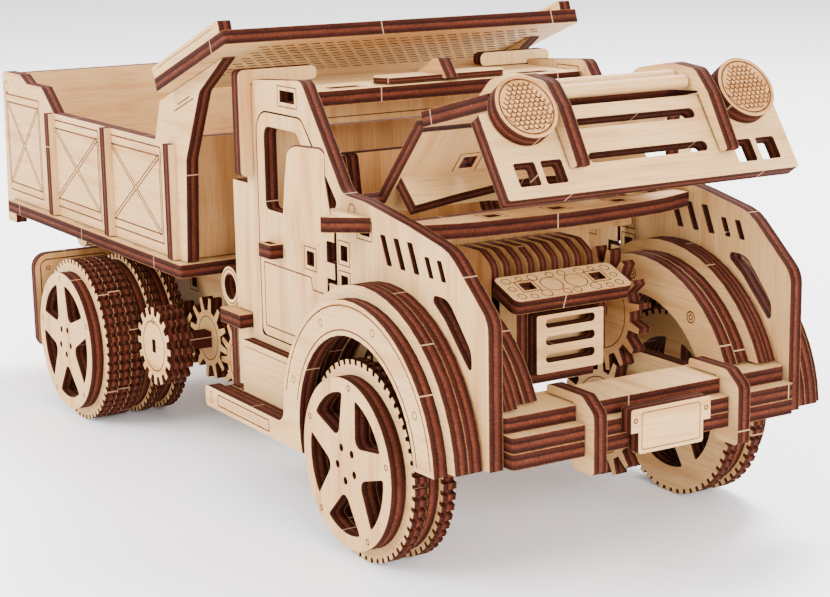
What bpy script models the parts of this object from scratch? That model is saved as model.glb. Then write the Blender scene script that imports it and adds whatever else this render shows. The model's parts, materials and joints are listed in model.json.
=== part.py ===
"""Laser-cut plywood tipper truck kit: every sheet part, wheel, gear, door, hood and tipping bed.

Lengths in the tables below are millimetres, X measured forward from the rear axle, Y to the
truck's left, Z up from the ground.  The helpers turn them into metres about the truck's middle.
"""
import math

import bmesh
import bpy
from mathutils import Matrix, Vector

MM = 0.001
MID_X = 52.49           # middle of the overall length, forward of the rear axle
SHEET = 3.2             # plywood thickness
GAP = 0.3               # clearance left between neighbouring pieces
ARC_STEP = 15.0         # degrees between points on a rounded outline

AXLE_Z = 21.0
FRONT_AXLE_X = 135.4
WHEEL_R = 21.0
RING_R = 19.6           # smooth sheet between two toothed tyre sheets
RIM_R = 17.9
TREAD_TEETH = 24
TREAD_DEPTH = 1.0
TREAD_CROWN = 0.25      # half width of a tyre tooth, as a share of the pitch
AXLE_SIDE = 4.0
BORE_R = 3.2

RAIL_Y = 21.1           # middle of each chassis rail
SIDE_Y = 37.1           # middle of each cab side
BED_SIDE_Y = 41.4       # middle of each bed side
ARCH = (139.0, 25.0)    # middle of the wheel arch
ARCH_CUT = (137.5, 24.0)
ARCH_CUT_R = 25.0
ARCH_R = 33.0
SKIRT_R = 30.4
SKIRT_IN_R = 23.2

MODULE = 1.5
KNOB_MODULE = 1.09
AXLE_TEETH = 12
IDLER_TEETH = 9
PINION_TEETH = 12
MOTOR_TEETH = 12
CAM_TEETH = 16
KNOB_TEETH = 16
GEAR_Y = -27.8          # middle of the winding gear train
CAM_Y = 17.5            # middle of the front axle and engine gears

BED_PIVOT = (-60.0, 38.0)
GATE_PIVOT = (-69.5, 80.6)
HOOD_PIVOT = (123.5, 70.6)
DOOR_PIVOT_X = 114.3
KNOB_AXIS = (31.33, 24.3)
MOTOR_AXIS = (49.11, 21.48)
ENGINE_AXIS = (135.4, 45.0)

HOOD_PITCH = 46.97      # slope of the rear hood plate as it stands open
CAP_PITCH = 13.1
GRILLE_LEAN = 34.0
CANOPY_PITCH = 19.6
COVER_PITCH = -20.9
GRILLE_FOOT = (175.6, 79.0)
CLAMP_Y = (("right", -16.4), ("left", 19.4))
CLAMP_NOTCH = 1.9       # half width of the notch that each bumper clamp sits in
FIN_Y = 45.5            # middle of each canopy fin
MIRROR_SPOT = (121.6, 48.2)
MIRROR_TURN = 31.2      # degrees that each mirror plate faces outward
STEP_BOX_Y = 40.3       # middle of the sheet standing on each running board

BIRCH = (0.79, 0.62, 0.42, 1.0)
BIRCH_WARM = (0.70, 0.50, 0.30, 1.0)
CHAR = (0.16, 0.07, 0.045, 1.0)
ROUGH = 0.62

parts = bpy.data.collections.new("wooden_dump_truck")
cutters = bpy.data.collections.new("cutters")
bodies = {}


# ---------------------------------------------------------------- outlines
def arc(centre, radius, start, end):
    """Points along an arc, both ends included; angles in degrees."""
    steps = max(2, math.ceil(abs(end - start) / ARC_STEP))
    turn = [math.radians(start + (end - start) * i / steps) for i in range(steps + 1)]
    return [(centre[0] + radius * math.cos(t), centre[1] + radius * math.sin(t)) for t in turn]


def rounded(corners):
    """Outline from (u, v) or (u, v, radius) corners, each radius laid as an arc."""
    outline = []
    count = len(corners)
    for i, corner in enumerate(corners):
        here = Vector(corner[:2])
        radius = corner[2] if len(corner) > 2 else 0.0
        if radius == 0.0:
            outline.append((here.x, here.y))
            continue
        back = (Vector(corners[i - 1][:2]) - here).normalized()
        ahead = (Vector(corners[(i + 1) % count][:2]) - here).normalized()
        half = back.angle(ahead) / 2.0
        middle = here + (back + ahead).normalized() * (radius / math.sin(half))
        first = here + back * (radius / math.tan(half)) - middle
        last = here + ahead * (radius / math.tan(half)) - middle
        begin = math.atan2(first.y, first.x)
        sweep = math.atan2(last.y, last.x) - begin
        sweep = (sweep + math.pi) % (2.0 * math.pi) - math.pi
        steps = max(1, math.ceil(math.degrees(abs(sweep)) / (2.0 * ARC_STEP)))
        for k in range(steps + 1):
            t = begin + sweep * k / steps
            outline.append((middle.x + radius * math.cos(t), middle.y + radius * math.sin(t)))
    return outline


def box_outline(u0, v0, u1, v1, radius=0.0):
    """Rectangle, its corners rounded when a radius is given."""
    return rounded([(u0, v0, radius), (u1, v0, radius), (u1, v1, radius), (u0, v1, radius)])


def circle(centre, radius, steps=20):
    """Round outline."""
    turn = [2.0 * math.pi * i / steps for i in range(steps)]
    return [(centre[0] + radius * math.cos(t), centre[1] + radius * math.sin(t)) for t in turn]


def tooth_ring(centre, count, root, tip, first, foot, crown):
    """Toothed outline: one tooth middle lies at angle `first`; foot and crown are half widths
    as shares of the pitch."""
    outline = []
    pitch = 2.0 * math.pi / count
    for i in range(count):
        middle = math.radians(first) + pitch * i
        for radius, shift in ((root, -foot), (tip, -crown), (tip, crown), (root, foot)):
            t = middle + pitch * shift
            outline.append((centre[0] + radius * math.cos(t), centre[1] + radius * math.sin(t)))
    return outline


def gear_outline(centre, teeth, module, first):
    """Spur gear outline with straight-flanked teeth and working backlash."""
    return tooth_ring(centre, teeth, module * (teeth / 2.0 - 1.25), module * (teeth / 2.0 + 1.0),
                      first, 0.25, 0.11)


def tread_outline(centre):
    """Tyre sheet outline with its row of short square teeth, the crowns flat on the ground."""
    tip = WHEEL_R / math.cos(2.0 * math.pi * TREAD_CROWN / TREAD_TEETH)
    return tooth_ring(centre, TREAD_TEETH, WHEEL_R - TREAD_DEPTH, tip, 0.0, TREAD_CROWN + 0.02, TREAD_CROWN)


def mirrored(outline):
    """Outline reflected across v = 0 to u = -u."""
    return [(-u, v) for u, v in reversed(outline)]


# ---------------------------------------------------------------- building blocks
def finish(name, colour):
    """Principled material carried by one piece."""
    material = bpy.data.materials.new(name + "_finish")
    material.use_nodes = True
    shader = material.node_tree.nodes["Principled BSDF"]
    shader.inputs["Base Color"].default_value = colour
    shader.inputs["Roughness"].default_value = ROUGH
    shader.inputs["Metallic"].default_value = 0.0
    return material


def body(name, x, y, z):
    """Empty on a moving body's axis, to which its pieces are parented."""
    empty = bpy.data.objects.new(name, None)
    empty.location = Vector((x - MID_X, y, z)) * MM
    parts.objects.link(empty)
    bodies[name] = empty
    return empty


def place(piece, turn, origin, owner):
    """Set a piece's turn and place, relative to the body that carries it."""
    place_world = Matrix.Translation(Vector((origin[0] - MID_X, origin[1], origin[2])) * MM) @ turn
    if owner:
        piece.parent = bodies[owner]
        place_world = Matrix.Translation(-bodies[owner].location) @ place_world
    piece.location = place_world.to_translation()
    piece.rotation_euler = place_world.to_euler()


SIDEWAYS = Matrix.Rotation(math.pi / 2.0, 4, "X")
ACROSS = Matrix.Rotation(math.pi / 2.0, 4, "Z") @ SIDEWAYS
LEVEL = Matrix.Identity(4)


def pitched(degrees):
    """Level sheet turned about Y so that its +u end rises."""
    return Matrix.Rotation(-math.radians(degrees), 4, "Y")


def leaning(degrees):
    """Sheet across the truck, its top leant back."""
    return Matrix.Rotation(-math.radians(degrees), 4, "Y") @ ACROSS


def solid(name, outline, thick, turn, origin, owner=None, holes=(), colour=BIRCH, cutter=False):
    """Flat sheet cut to an outline with holes, centred on its mid-thickness."""
    curve = bpy.data.curves.new(name, "CURVE")
    curve.dimensions = "2D"
    curve.fill_mode = "BOTH"
    curve.extrude = thick * MM / 2.0
    for loop in (outline, *holes):
        spline = curve.splines.new("POLY")
        spline.points.add(len(loop) - 1)
        for point, (u, v) in zip(spline.points, loop):
            point.co = (u * MM, v * MM, 0.0, 1.0)
        spline.use_cyclic_u = True
    source = bpy.data.objects.new(name + "_outline", curve)
    bpy.context.scene.collection.objects.link(source)
    graph = bpy.context.evaluated_depsgraph_get()
    mesh = bpy.data.meshes.new_from_object(source.evaluated_get(graph))
    bpy.data.objects.remove(source)
    work = bmesh.new()
    work.from_mesh(mesh)
    bmesh.ops.remove_doubles(work, verts=work.verts, dist=0.000002)
    bmesh.ops.recalc_face_normals(work, faces=work.faces)
    work.to_mesh(mesh)
    work.free()
    mesh.name = name
    mesh.materials.clear()
    mesh.materials.append(finish(name, colour))
    piece = bpy.data.objects.new(name, mesh)
    (cutters if cutter else parts).objects.link(piece)
    if cutter:
        piece.hide_render = True
        piece.display_type = "WIRE"
    place(piece, turn, origin, owner)
    return piece


def combine(piece, other, operation):
    """Boolean between a piece and a cutter."""
    step = piece.modifiers.new(other.name, "BOOLEAN")
    step.operation = operation
    step.solver = "EXACT"
    step.object = other


def add(piece, name, outline, thick, turn, origin, owner=None, holes=()):
    """Glue another sheet to a piece."""
    combine(piece, solid(name, outline, thick, turn, origin, owner, holes, cutter=True), "UNION")


def cut(piece, name, outline, thick, turn, origin, owner=None):
    """Cut a prism out of a piece."""
    combine(piece, solid(name, outline, thick, turn, origin, owner, cutter=True), "DIFFERENCE")


def upright(name, outline, y, owner=None, holes=(), thick=SHEET, colour=BIRCH):
    """Sheet standing lengthwise; outline in X and Z."""
    return solid(name, outline, thick, SIDEWAYS, (0.0, y, 0.0), owner, holes, colour)


def crosswise(name, outline, x, owner=None, holes=(), thick=SHEET, colour=BIRCH):
    """Sheet standing across the truck; outline in Y and Z."""
    return solid(name, outline, thick, ACROSS, (x, 0.0, 0.0), owner, holes, colour)


def level(name, outline, z, owner=None, holes=(), thick=SHEET, colour=BIRCH):
    """Sheet lying flat; outline in X and Y."""
    return solid(name, outline, thick, LEVEL, (0.0, 0.0, z), owner, holes, colour)


# ---------------------------------------------------------------- chassis
def rail_outline():
    """Chassis rail: rounded tail about the bed hinge, axle bosses and a gear hanger."""
    tail = arc(BED_PIVOT, 6.6, 90.0, 270.0)
    rear_boss = arc((0.0, AXLE_Z), 7.0, 200.0, 330.0)
    front_boss = arc((FRONT_AXLE_X, AXLE_Z), 7.0, 200.0, 340.0)
    return rounded([*tail, (-14.0, 28.0, 3.0), *rear_boss, (12.0, 14.6, 2.0), (55.0, 14.6, 4.0),
                    (61.0, 26.0, 4.0), (124.0, 26.0), *front_boss, (146.5, 27.0), (160.6, 27.0),
                    (160.6, 36.6), (62.5, 36.6), (55.0, 44.6)])


def chassis():
    """Rails, cross members and mud flaps."""
    bores = [circle((0.0, AXLE_Z), BORE_R, 16), circle((FRONT_AXLE_X, AXLE_Z), BORE_R, 16),
             circle(KNOB_AXIS, BORE_R, 16), circle(MOTOR_AXIS, BORE_R, 16)]
    for side, tag in ((-1, "right"), (1, "left")):
        rail = upright("chassis_rail_" + tag, rail_outline(), side * RAIL_Y, holes=bores)
        add(rail, "bed_pin_" + tag, circle(BED_PIVOT, 1.5, 16), 5.4, SIDEWAYS, (0.0, side * 24.6, 0.0))
        flap = [(-53.5, 13.5, 3.0), (-31.0, 13.5, 3.0), (-31.0, 29.0, 2.0), (-23.1, 29.0),
                (-23.1, 39.5), (-53.5, 39.5, 4.0)]
        outline = rounded(flap)
        crosswise("mudflap_" + tag, outline if side < 0 else mirrored(outline), -26.9)
    crosswise("rear_cross_member", box_outline(-19.2, 27.0, 19.2, 44.0, 2.0), -45.0)
    notch = [(-38.6, 19.8), (38.6, 19.8), (38.6, 36.6), (23.0, 36.6), (23.0, 25.7), (19.2, 25.7),
             (19.2, 36.6), (-19.2, 36.6), (-19.2, 25.7), (-23.0, 25.7), (-23.0, 36.6), (-38.6, 36.6)]
    crosswise("cab_bulkhead", notch, 65.9)


# ---------------------------------------------------------------- cab
def door_front_arc(radius, top, bottom):
    """Edge that follows the wheel arch, from a top height down to a bottom height."""
    start = 180.0 - math.degrees(math.asin((top - ARCH[1]) / radius))
    end = 180.0 - math.degrees(math.asin((bottom - ARCH[1]) / radius))
    return arc(ARCH, radius, start, end)


def slanted_slot(x, top, width, height, lean):
    """Parallelogram vent leaning forward as it goes down."""
    return [(x, top), (x + lean, top - height), (x + lean + width, top - height), (x + width, top)]


def cab_side_outline():
    """Cab side with windscreen pillar, sloping bonnet line and wheel arch."""
    arch_end = math.degrees(math.asin((27.4 - ARCH_CUT[1]) / ARCH_CUT_R))
    arch_start = 180.0 + math.degrees(math.asin((ARCH_CUT[1] - 19.5) / ARCH_CUT_R))
    crown = rounded([(173.6, 27.4), (173.6, 56.5, 5.0), (160.5, 67.6, 10.0), (146.0, 70.4, 12.0),
                     (128.5, 73.0, 12.0), (119.6, 73.4, 4.0), (102.6, 95.4, 3.0), (79.8, 93.9),
                     (79.8, 92.7), (76.0, 92.7), (76.0, 70.3), (68.4, 70.3), (68.4, 40.5),
                     (76.3, 40.5), (76.3, 36.7), (68.4, 36.7), (68.4, 19.5)])
    return crown + arc(ARCH_CUT, ARCH_CUT_R, arch_start, arch_end)


def cab_side_holes():
    """Door opening, bonnet vents and the long curved vent."""
    door = rounded([(80.8, 36.2, 1.0), (80.8, 87.6, 5.2), (102.2, 87.6, 3.2), (117.4, 71.2, 1.0),
                    (116.7, 70.4), (116.7, 53.6), (113.2, 53.6), *door_front_arc(35.1, 48.6, 42.0), (100.9, 36.2)])
    vents = [slanted_slot(x, 67.3, 2.1, 6.0, 2.7) for x in (134.6, 139.8, 145.0)]
    vents += [slanted_slot(x, 65.4, 1.8, 4.0, 1.8) for x in (151.4, 155.9)]
    long_vent = rounded([(152.4, 58.3, 1.0), (160.0, 58.4, 5.0), (168.0, 49.6, 4.0), (168.0, 44.9, 0.8),
                         (163.5, 49.2, 6.0), (158.5, 54.2, 4.0)])
    return [door, *vents, long_vent]


def cab_shell():
    """Sides, floor, back, roof, roof hoops, deflector, firewall and cowl."""
    for side, tag in ((-1, "right"), (1, "left")):
        upright("cab_side_" + tag, cab_side_outline(), side * SIDE_Y, holes=cab_side_holes())
        hoop = rounded([(-42.0, 72.4, 1.2), (-38.9, 72.4, 1.2), (-38.9, 93.0), (-22.2, 93.0, 1.2),
                        (-22.2, 96.1, 1.2), (-42.0, 96.1, 1.2)])
        crosswise("roof_hoop_" + tag, hoop if side < 0 else mirrored(hoop), 77.8)
    floor = [(65.0, -42.0, 1.0), (76.0, -42.0), (76.0, -35.2), (104.2, -35.2), (104.2, -23.2),
             (117.6, -23.2), (117.6, 23.2), (104.2, 23.2), (104.2, 35.2), (76.0, 35.2),
             (76.0, 42.0), (65.0, 42.0, 1.0)]
    level("cab_floor", rounded(floor), 38.5)
    window = box_outline(-22.0, 60.0, 22.0, 82.0, 3.0)
    crosswise("cab_back", box_outline(-35.2, 40.4, 35.2, 89.2), 74.2, holes=[window])
    level("roof", box_outline(72.6, -35.2, 102.0, 35.2, 1.0), 91.1)
    blade = [(100.0, -14.8), (100.0, 14.8), (96.3, 17.2), (92.0, 14.4), (92.0, -14.4), (96.3, -17.2)]
    deflector = level("roof_deflector", blade, 93.6, thick=1.2, colour=BIRCH_WARM)
    add(deflector, "deflector_fin", [(88.4, 93.4), (101.6, 93.4), (98.2, 97.6), (96.9, 97.6)],
        SHEET, SIDEWAYS, (0.0, 0.0, 0.0))
    wall = [(-23.2, 38.2), (23.2, 38.2), (23.2, 59.4), (35.2, 59.4), (35.2, 66.0), (-35.2, 66.0),
            (-35.2, 59.4), (-23.2, 59.4)]
    crosswise("firewall", wall, 119.6, colour=BIRCH_WARM)
    cowl = [(137.2, -35.2), (141.2, -35.2), (145.2, -24.0, 30.0), (147.0, 0.0, 60.0),
            (145.2, 24.0, 30.0), (141.2, 35.2), (137.2, 35.2)]
    level("cowl", rounded(cowl), 67.9)


def cab_seat():
    """Bench with its back and the two side stacks."""
    seat = crosswise("seat", box_outline(-22.0, 40.4, 22.0, 76.0, 3.0), 83.0, colour=BIRCH_WARM)
    add(seat, "seat_cushion", box_outline(83.0, -22.0, 100.0, 22.0, 2.0), SHEET, LEVEL,
        (0.0, 0.0, 54.0))
    cheek = rounded([(83.0, 40.4), (98.0, 40.4), (98.0, 57.5, 2.0), (88.5, 60.0, 4.0),
                     (86.0, 76.0, 1.2), (83.0, 76.0)])
    for y in (-18.8, 18.8):
        add(seat, "seat_cheek", cheek, 2.0 * SHEET, SIDEWAYS, (0.0, y, 0.0))


# ---------------------------------------------------------------- engine, bumper
def engine():
    """Finned block, sloping valve cover and slotted radiator."""
    block = crosswise("engine_block", box_outline(-13.0, 38.4, 13.0, 55.0, 1.5), 129.5, thick=14.0,
                      colour=BIRCH_WARM)
    fin = rounded([(123.0, 42.0), (136.4, 42.0), (136.4, 58.0, 3.0), (132.0, 60.5, 3.0), (123.0, 60.5)])
    for y in (-12.0, -6.0, 0.0, 6.0, 12.0):
        add(block, "engine_fin", fin, SHEET, SIDEWAYS, (0.0, y, 0.0))
    half = 14.9
    holes = [box_outline(2.6, -half + 4.0, 5.8, -half + 8.0), box_outline(2.6, half - 8.0, 5.8, half - 4.0)]
    slope = math.radians(COVER_PITCH)
    solid("valve_cover", box_outline(0.0, -half, 9.6, half, 1.6), SHEET, pitched(COVER_PITCH),
          (139.3 + math.sin(slope) * SHEET / 2.0, 0.0, 56.0 - math.cos(slope) * SHEET / 2.0), holes=holes)
    frame = rounded([(-9.0, 33.0), (9.0, 33.0), (11.5, 36.5), (11.5, 50.7, 2.0), (-11.5, 50.7, 2.0),
                     (-11.5, 36.5)])
    radiator = crosswise("radiator", frame, 139.9, thick=6.2)
    slots = [box_outline(-6.3, z, 6.3, z + 1.9, 0.9) for z in (38.2, 41.9, 45.6)]
    add(radiator, "radiator_face", box_outline(-8.5, 36.0, 8.5, 48.4), 3.4, ACROSS, (144.5, 0.0, 0.0),
        holes=slots)


def bumper():
    """Stepped beam of stacked sheets, its two clamps and the plain number plate."""
    beam = level("bumper", box_outline(161.0, -34.8, 173.1, 34.8), 35.7)
    add(beam, "bumper_lower", box_outline(163.0, -35.0, 176.0, 35.0), 6.6, LEVEL, (0.0, 0.0, 31.0))
    clamp = rounded([(171.7, 24.2), (178.5, 24.2, 1.0), (178.5, 36.4, 2.0), (174.6, 39.4, 2.0),
                     (163.0, 39.4, 0.8), (163.0, 37.6), (171.7, 37.6)])
    for tag, y in CLAMP_Y:
        cut(beam, "clamp_notch_" + tag, box_outline(171.4, y - CLAMP_NOTCH, 180.0, y + CLAMP_NOTCH),
            30.0, LEVEL, (0.0, 0.0, 34.0))
        upright("bumper_clamp_" + tag, clamp, y)
    plate = rounded([(-8.0, 27.2, 0.6), (8.0, 27.2, 0.6), (8.0, 31.6), (9.8, 31.6), (9.8, 36.3, 0.6),
                     (-9.8, 36.3, 0.6), (-9.8, 31.6), (-8.0, 31.6)])
    crosswise("number_plate", plate, 177.9)


# ---------------------------------------------------------------- fenders, steps, mirrors
def fender_outline():
    """Arch ring of the two inner fender sheets."""
    front = math.degrees(math.asin((27.4 - ARCH[1]) / ARCH_R))
    rear = 180.0 + math.degrees(math.asin((ARCH[1] - 18.6) / ARCH_R))
    inner_rear = 180.0 + math.degrees(math.asin((ARCH_CUT[1] - 18.6) / ARCH_CUT_R))
    inner_front = math.degrees(math.asin((27.4 - ARCH_CUT[1]) / ARCH_CUT_R))
    return arc(ARCH, ARCH_R, front, rear) + arc(ARCH_CUT, ARCH_CUT_R, inner_rear, inner_front)


def skirt_outline():
    """Outer sheet: arch ring running back into the running board."""
    front = math.degrees(math.asin((26.8 - ARCH[1]) / SKIRT_R))
    inner_rear = 180.0 + math.degrees(math.asin((ARCH[1] - 18.6) / SKIRT_IN_R))
    inner_front = math.degrees(math.asin((26.6 - ARCH[1]) / SKIRT_IN_R))
    return rounded([*arc(ARCH, SKIRT_R, front, 172.0), (108.6, 23.4, 3.0), (69.5, 23.4, 1.0),
                    (69.5, 18.6, 1.0), *arc(ARCH, SKIRT_IN_R, inner_rear, inner_front)])


def liner_outline(radius):
    """Arch ring standing inside the engine bay, stopping above the bumper."""
    outer_front = math.degrees(math.asin((37.8 - ARCH[1]) / radius))
    inner_front = math.degrees(math.asin((37.8 - ARCH[1]) / SKIRT_IN_R))
    return arc(ARCH, radius, outer_front, 180.0) + arc(ARCH, SKIRT_IN_R, 180.0, inner_front)


def mirror_outline():
    """Tall tapered mirror plate, its u measured from the plate's middle."""
    return rounded([(-5.0, 66.0, 2.0), (4.6, 64.3, 2.0), (4.9, 70.0), (3.9, 78.0), (3.9, 83.8, 1.5),
                    (-3.4, 84.8, 2.0), (-4.2, 77.0)])


def wings():
    """Fenders, inner arches, running boards and mirrors, one of each per side."""
    for side, tag in ((-1, "right"), (1, "left")):
        fender = upright("fender_" + tag, fender_outline(), side * 42.1, thick=6.2)
        add(fender, "fender_skirt_" + tag, skirt_outline(), 3.3, SIDEWAYS, (0.0, side * 46.65, 0.0))
        liner = upright("arch_liner_" + tag, liner_outline(31.5), side * 26.7, thick=6.4,
                        colour=BIRCH_WARM)
        add(liner, "arch_liner_step_" + tag, liner_outline(34.0), 5.0, SIDEWAYS, (0.0, side * 32.2, 0.0))
        board = box_outline(69.8, 18.9, 105.4, 22.4)
        step = upright("running_board_" + tag, board, side * 41.95, thick=5.9, colour=CHAR)
        add(step, "step_box_" + tag, box_outline(76.2, 22.0, 99.8, 34.6), 2.8, SIDEWAYS,
            (0.0, side * STEP_BOX_Y, 0.0))
        plate = mirror_outline() if side < 0 else mirrored(mirror_outline())
        outward = Matrix.Rotation(side * math.radians(MIRROR_TURN), 4, "Z") @ ACROSS
        mirror = solid("mirror_" + tag, plate, SHEET, outward, (MIRROR_SPOT[0], side * MIRROR_SPOT[1], 0.0))
        arm = rounded([(117.0, -39.0), (131.4, -39.0), (125.0, -46.6, 1.0), (118.5, -46.6, 1.0)])
        if side > 0:
            arm = [(x, -y) for x, y in reversed(arm)]
        add(mirror, "mirror_arm_" + tag, arm, SHEET, LEVEL, (0.0, 0.0, 68.6))


# ---------------------------------------------------------------- wheels and gears
def window_outline(centre, middle):
    """Rounded opening between two spokes, its middle at an angle in degrees."""
    corners = []
    for radius, half, corner in ((7.0, 17.0, 1.0), (14.6, 27.0, 2.0), (14.6, -27.0, 2.0), (7.0, -17.0, 1.0)):
        t = math.radians(middle + half)
        corners.append((centre[0] + radius * math.cos(t), centre[1] + radius * math.sin(t), corner))
    return rounded(corners)


def wheel(name, owner, centre, side, stack, rim):
    """Tyre built from toothed sheets with smooth rings between, and a five-spoke rim outside."""
    first, last = stack[0]
    tyre = upright(name, tread_outline(centre), side * (first + last) / 2.0, owner, thick=last - first)
    for i, (inner, outer) in enumerate(stack[1:]):
        toothed = i % 2 == 1
        outline = tread_outline(centre) if toothed else circle(centre, RING_R, 24)
        add(tyre, "%s_sheet_%d" % (name, i), outline, outer - inner, SIDEWAYS,
            (0.0, side * (inner + outer) / 2.0, 0.0), owner)
    low, high = rim
    add(tyre, name + "_rim", circle(centre, RIM_R, 30), high - low, SIDEWAYS,
        (0.0, side * (low + high) / 2.0, 0.0), owner)
    for k in range(5):
        cut(tyre, "%s_window_%d" % (name, k), window_outline(centre, 54.0 + 72.0 * k), 9.0, SIDEWAYS,
            (0.0, side * (high - 4.0), 0.0), owner)


def axle_outline(centre):
    """Square axle section."""
    half = AXLE_SIDE / 2.0
    return box_outline(centre[0] - half, centre[1] - half, centre[0] + half, centre[1] + half)


def front_running_gear():
    """Front axle with its gear, both front wheels and the engine gear above."""
    centre = (FRONT_AXLE_X, AXLE_Z)
    body("front_axle_body", FRONT_AXLE_X, 0.0, AXLE_Z)
    axle = upright("front_axle", axle_outline(centre), 0.0, "front_axle_body", thick=69.4)
    add(axle, "front_axle_gear", gear_outline(centre, CAM_TEETH, MODULE, 90.0), SHEET, SIDEWAYS,
        (0.0, CAM_Y, 0.0), "front_axle_body")
    stack = ((35.0, 38.3), (38.1, 41.7), (41.5, 44.7))
    for side, tag in ((-1, "right"), (1, "left")):
        wheel("front_wheel_" + tag, "front_axle_body", centre, side, stack, (44.5, 48.2))
    body("engine_gear_body", ENGINE_AXIS[0], CAM_Y, ENGINE_AXIS[1])
    half_pitch = 180.0 / CAM_TEETH
    gear = upright("engine_gear", gear_outline(ENGINE_AXIS, CAM_TEETH, MODULE, 270.0 + half_pitch), CAM_Y,
                   "engine_gear_body", colour=BIRCH_WARM)
    add(gear, "engine_gear_hub", circle(ENGINE_AXIS, 2.4, 16), 2.0, SIDEWAYS, (0.0, CAM_Y - 2.4, 0.0),
        "engine_gear_body")


def rear_running_gear():
    """Rear axle with its gear and twin-width wheels, then the winding train."""
    centre = (0.0, AXLE_Z)
    idler = (KNOB_AXIS[0] / 2.0, (KNOB_AXIS[1] + AXLE_Z) / 2.0)
    ahead = math.degrees(math.atan2(KNOB_AXIS[1] - AXLE_Z, KNOB_AXIS[0]))
    body("rear_axle_body", 0.0, 0.0, AXLE_Z)
    axle = upright("rear_axle", axle_outline(centre), 0.0, "rear_axle_body", thick=59.4)
    add(axle, "rear_axle_gear", gear_outline(centre, AXLE_TEETH, MODULE, ahead), SHEET, SIDEWAYS,
        (0.0, GEAR_Y, 0.0), "rear_axle_body")
    stack = ((30.0, 39.8), (39.6, 43.0), (42.8, 52.3))
    for side, tag in ((-1, "right"), (1, "left")):
        wheel("rear_wheel_" + tag, "rear_axle_body", centre, side, stack, (52.1, 55.6))
    body("idler_body", idler[0], GEAR_Y, idler[1])
    half_pitch = 180.0 / IDLER_TEETH
    small = upright("idler_gear", gear_outline(idler, IDLER_TEETH, MODULE, ahead + 180.0 + half_pitch),
                    GEAR_Y, "idler_body")
    add(small, "idler_hub", circle(idler, 2.4, 16), 3.4, SIDEWAYS, (0.0, GEAR_Y + 3.2, 0.0), "idler_body")
    body("winding_body", KNOB_AXIS[0], 0.0, KNOB_AXIS[1])
    shaft = upright("winding_shaft", axle_outline(KNOB_AXIS), -6.0, "winding_body", thick=63.2)
    half_pitch = 180.0 / PINION_TEETH
    add(shaft, "winding_pinion", gear_outline(KNOB_AXIS, PINION_TEETH, MODULE, ahead + 180.0 + half_pitch),
        SHEET, SIDEWAYS, (0.0, GEAR_Y, 0.0), "winding_body")
    knob = tooth_ring(KNOB_AXIS, KNOB_TEETH, KNOB_MODULE * 7.2, KNOB_MODULE * 9.0, 0.0, 0.26, 0.20)
    upright("winding_knob", knob, -41.1, "winding_body", thick=2.0 * SHEET)
    body("motor_body", MOTOR_AXIS[0], GEAR_Y, MOTOR_AXIS[1])
    back = math.degrees(math.atan2(KNOB_AXIS[1] - MOTOR_AXIS[1], KNOB_AXIS[0] - MOTOR_AXIS[0]))
    drum = upright("motor_gear", gear_outline(MOTOR_AXIS, MOTOR_TEETH, MODULE, back + 180.0 / MOTOR_TEETH),
                   GEAR_Y, "motor_body")
    add(drum, "motor_shaft", axle_outline(MOTOR_AXIS), 50.0, SIDEWAYS, (0.0, GEAR_Y + 25.0, 0.0),
        "motor_body")


# ---------------------------------------------------------------- tipping bed
def bed_side_outline():
    """Tall tail, straight top edge and the forward wing that carries the canopy."""
    return rounded([(50.7, 48.5), (52.5, 73.3, 3.0), (61.2, 90.0, 3.0), (74.4, 98.6), (38.8, 85.9),
                    (35.1, 76.3), (-32.6, 76.3), (-41.1, 82.7, 1.5), (-52.6, 82.7), (-57.6, 84.9, 1.5),
                    (-72.2, 84.9, 1.5), (-73.0, 62.0), (-74.6, 41.2, 1.0), (-67.8, 41.2), (-67.8, 48.5)])


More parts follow.
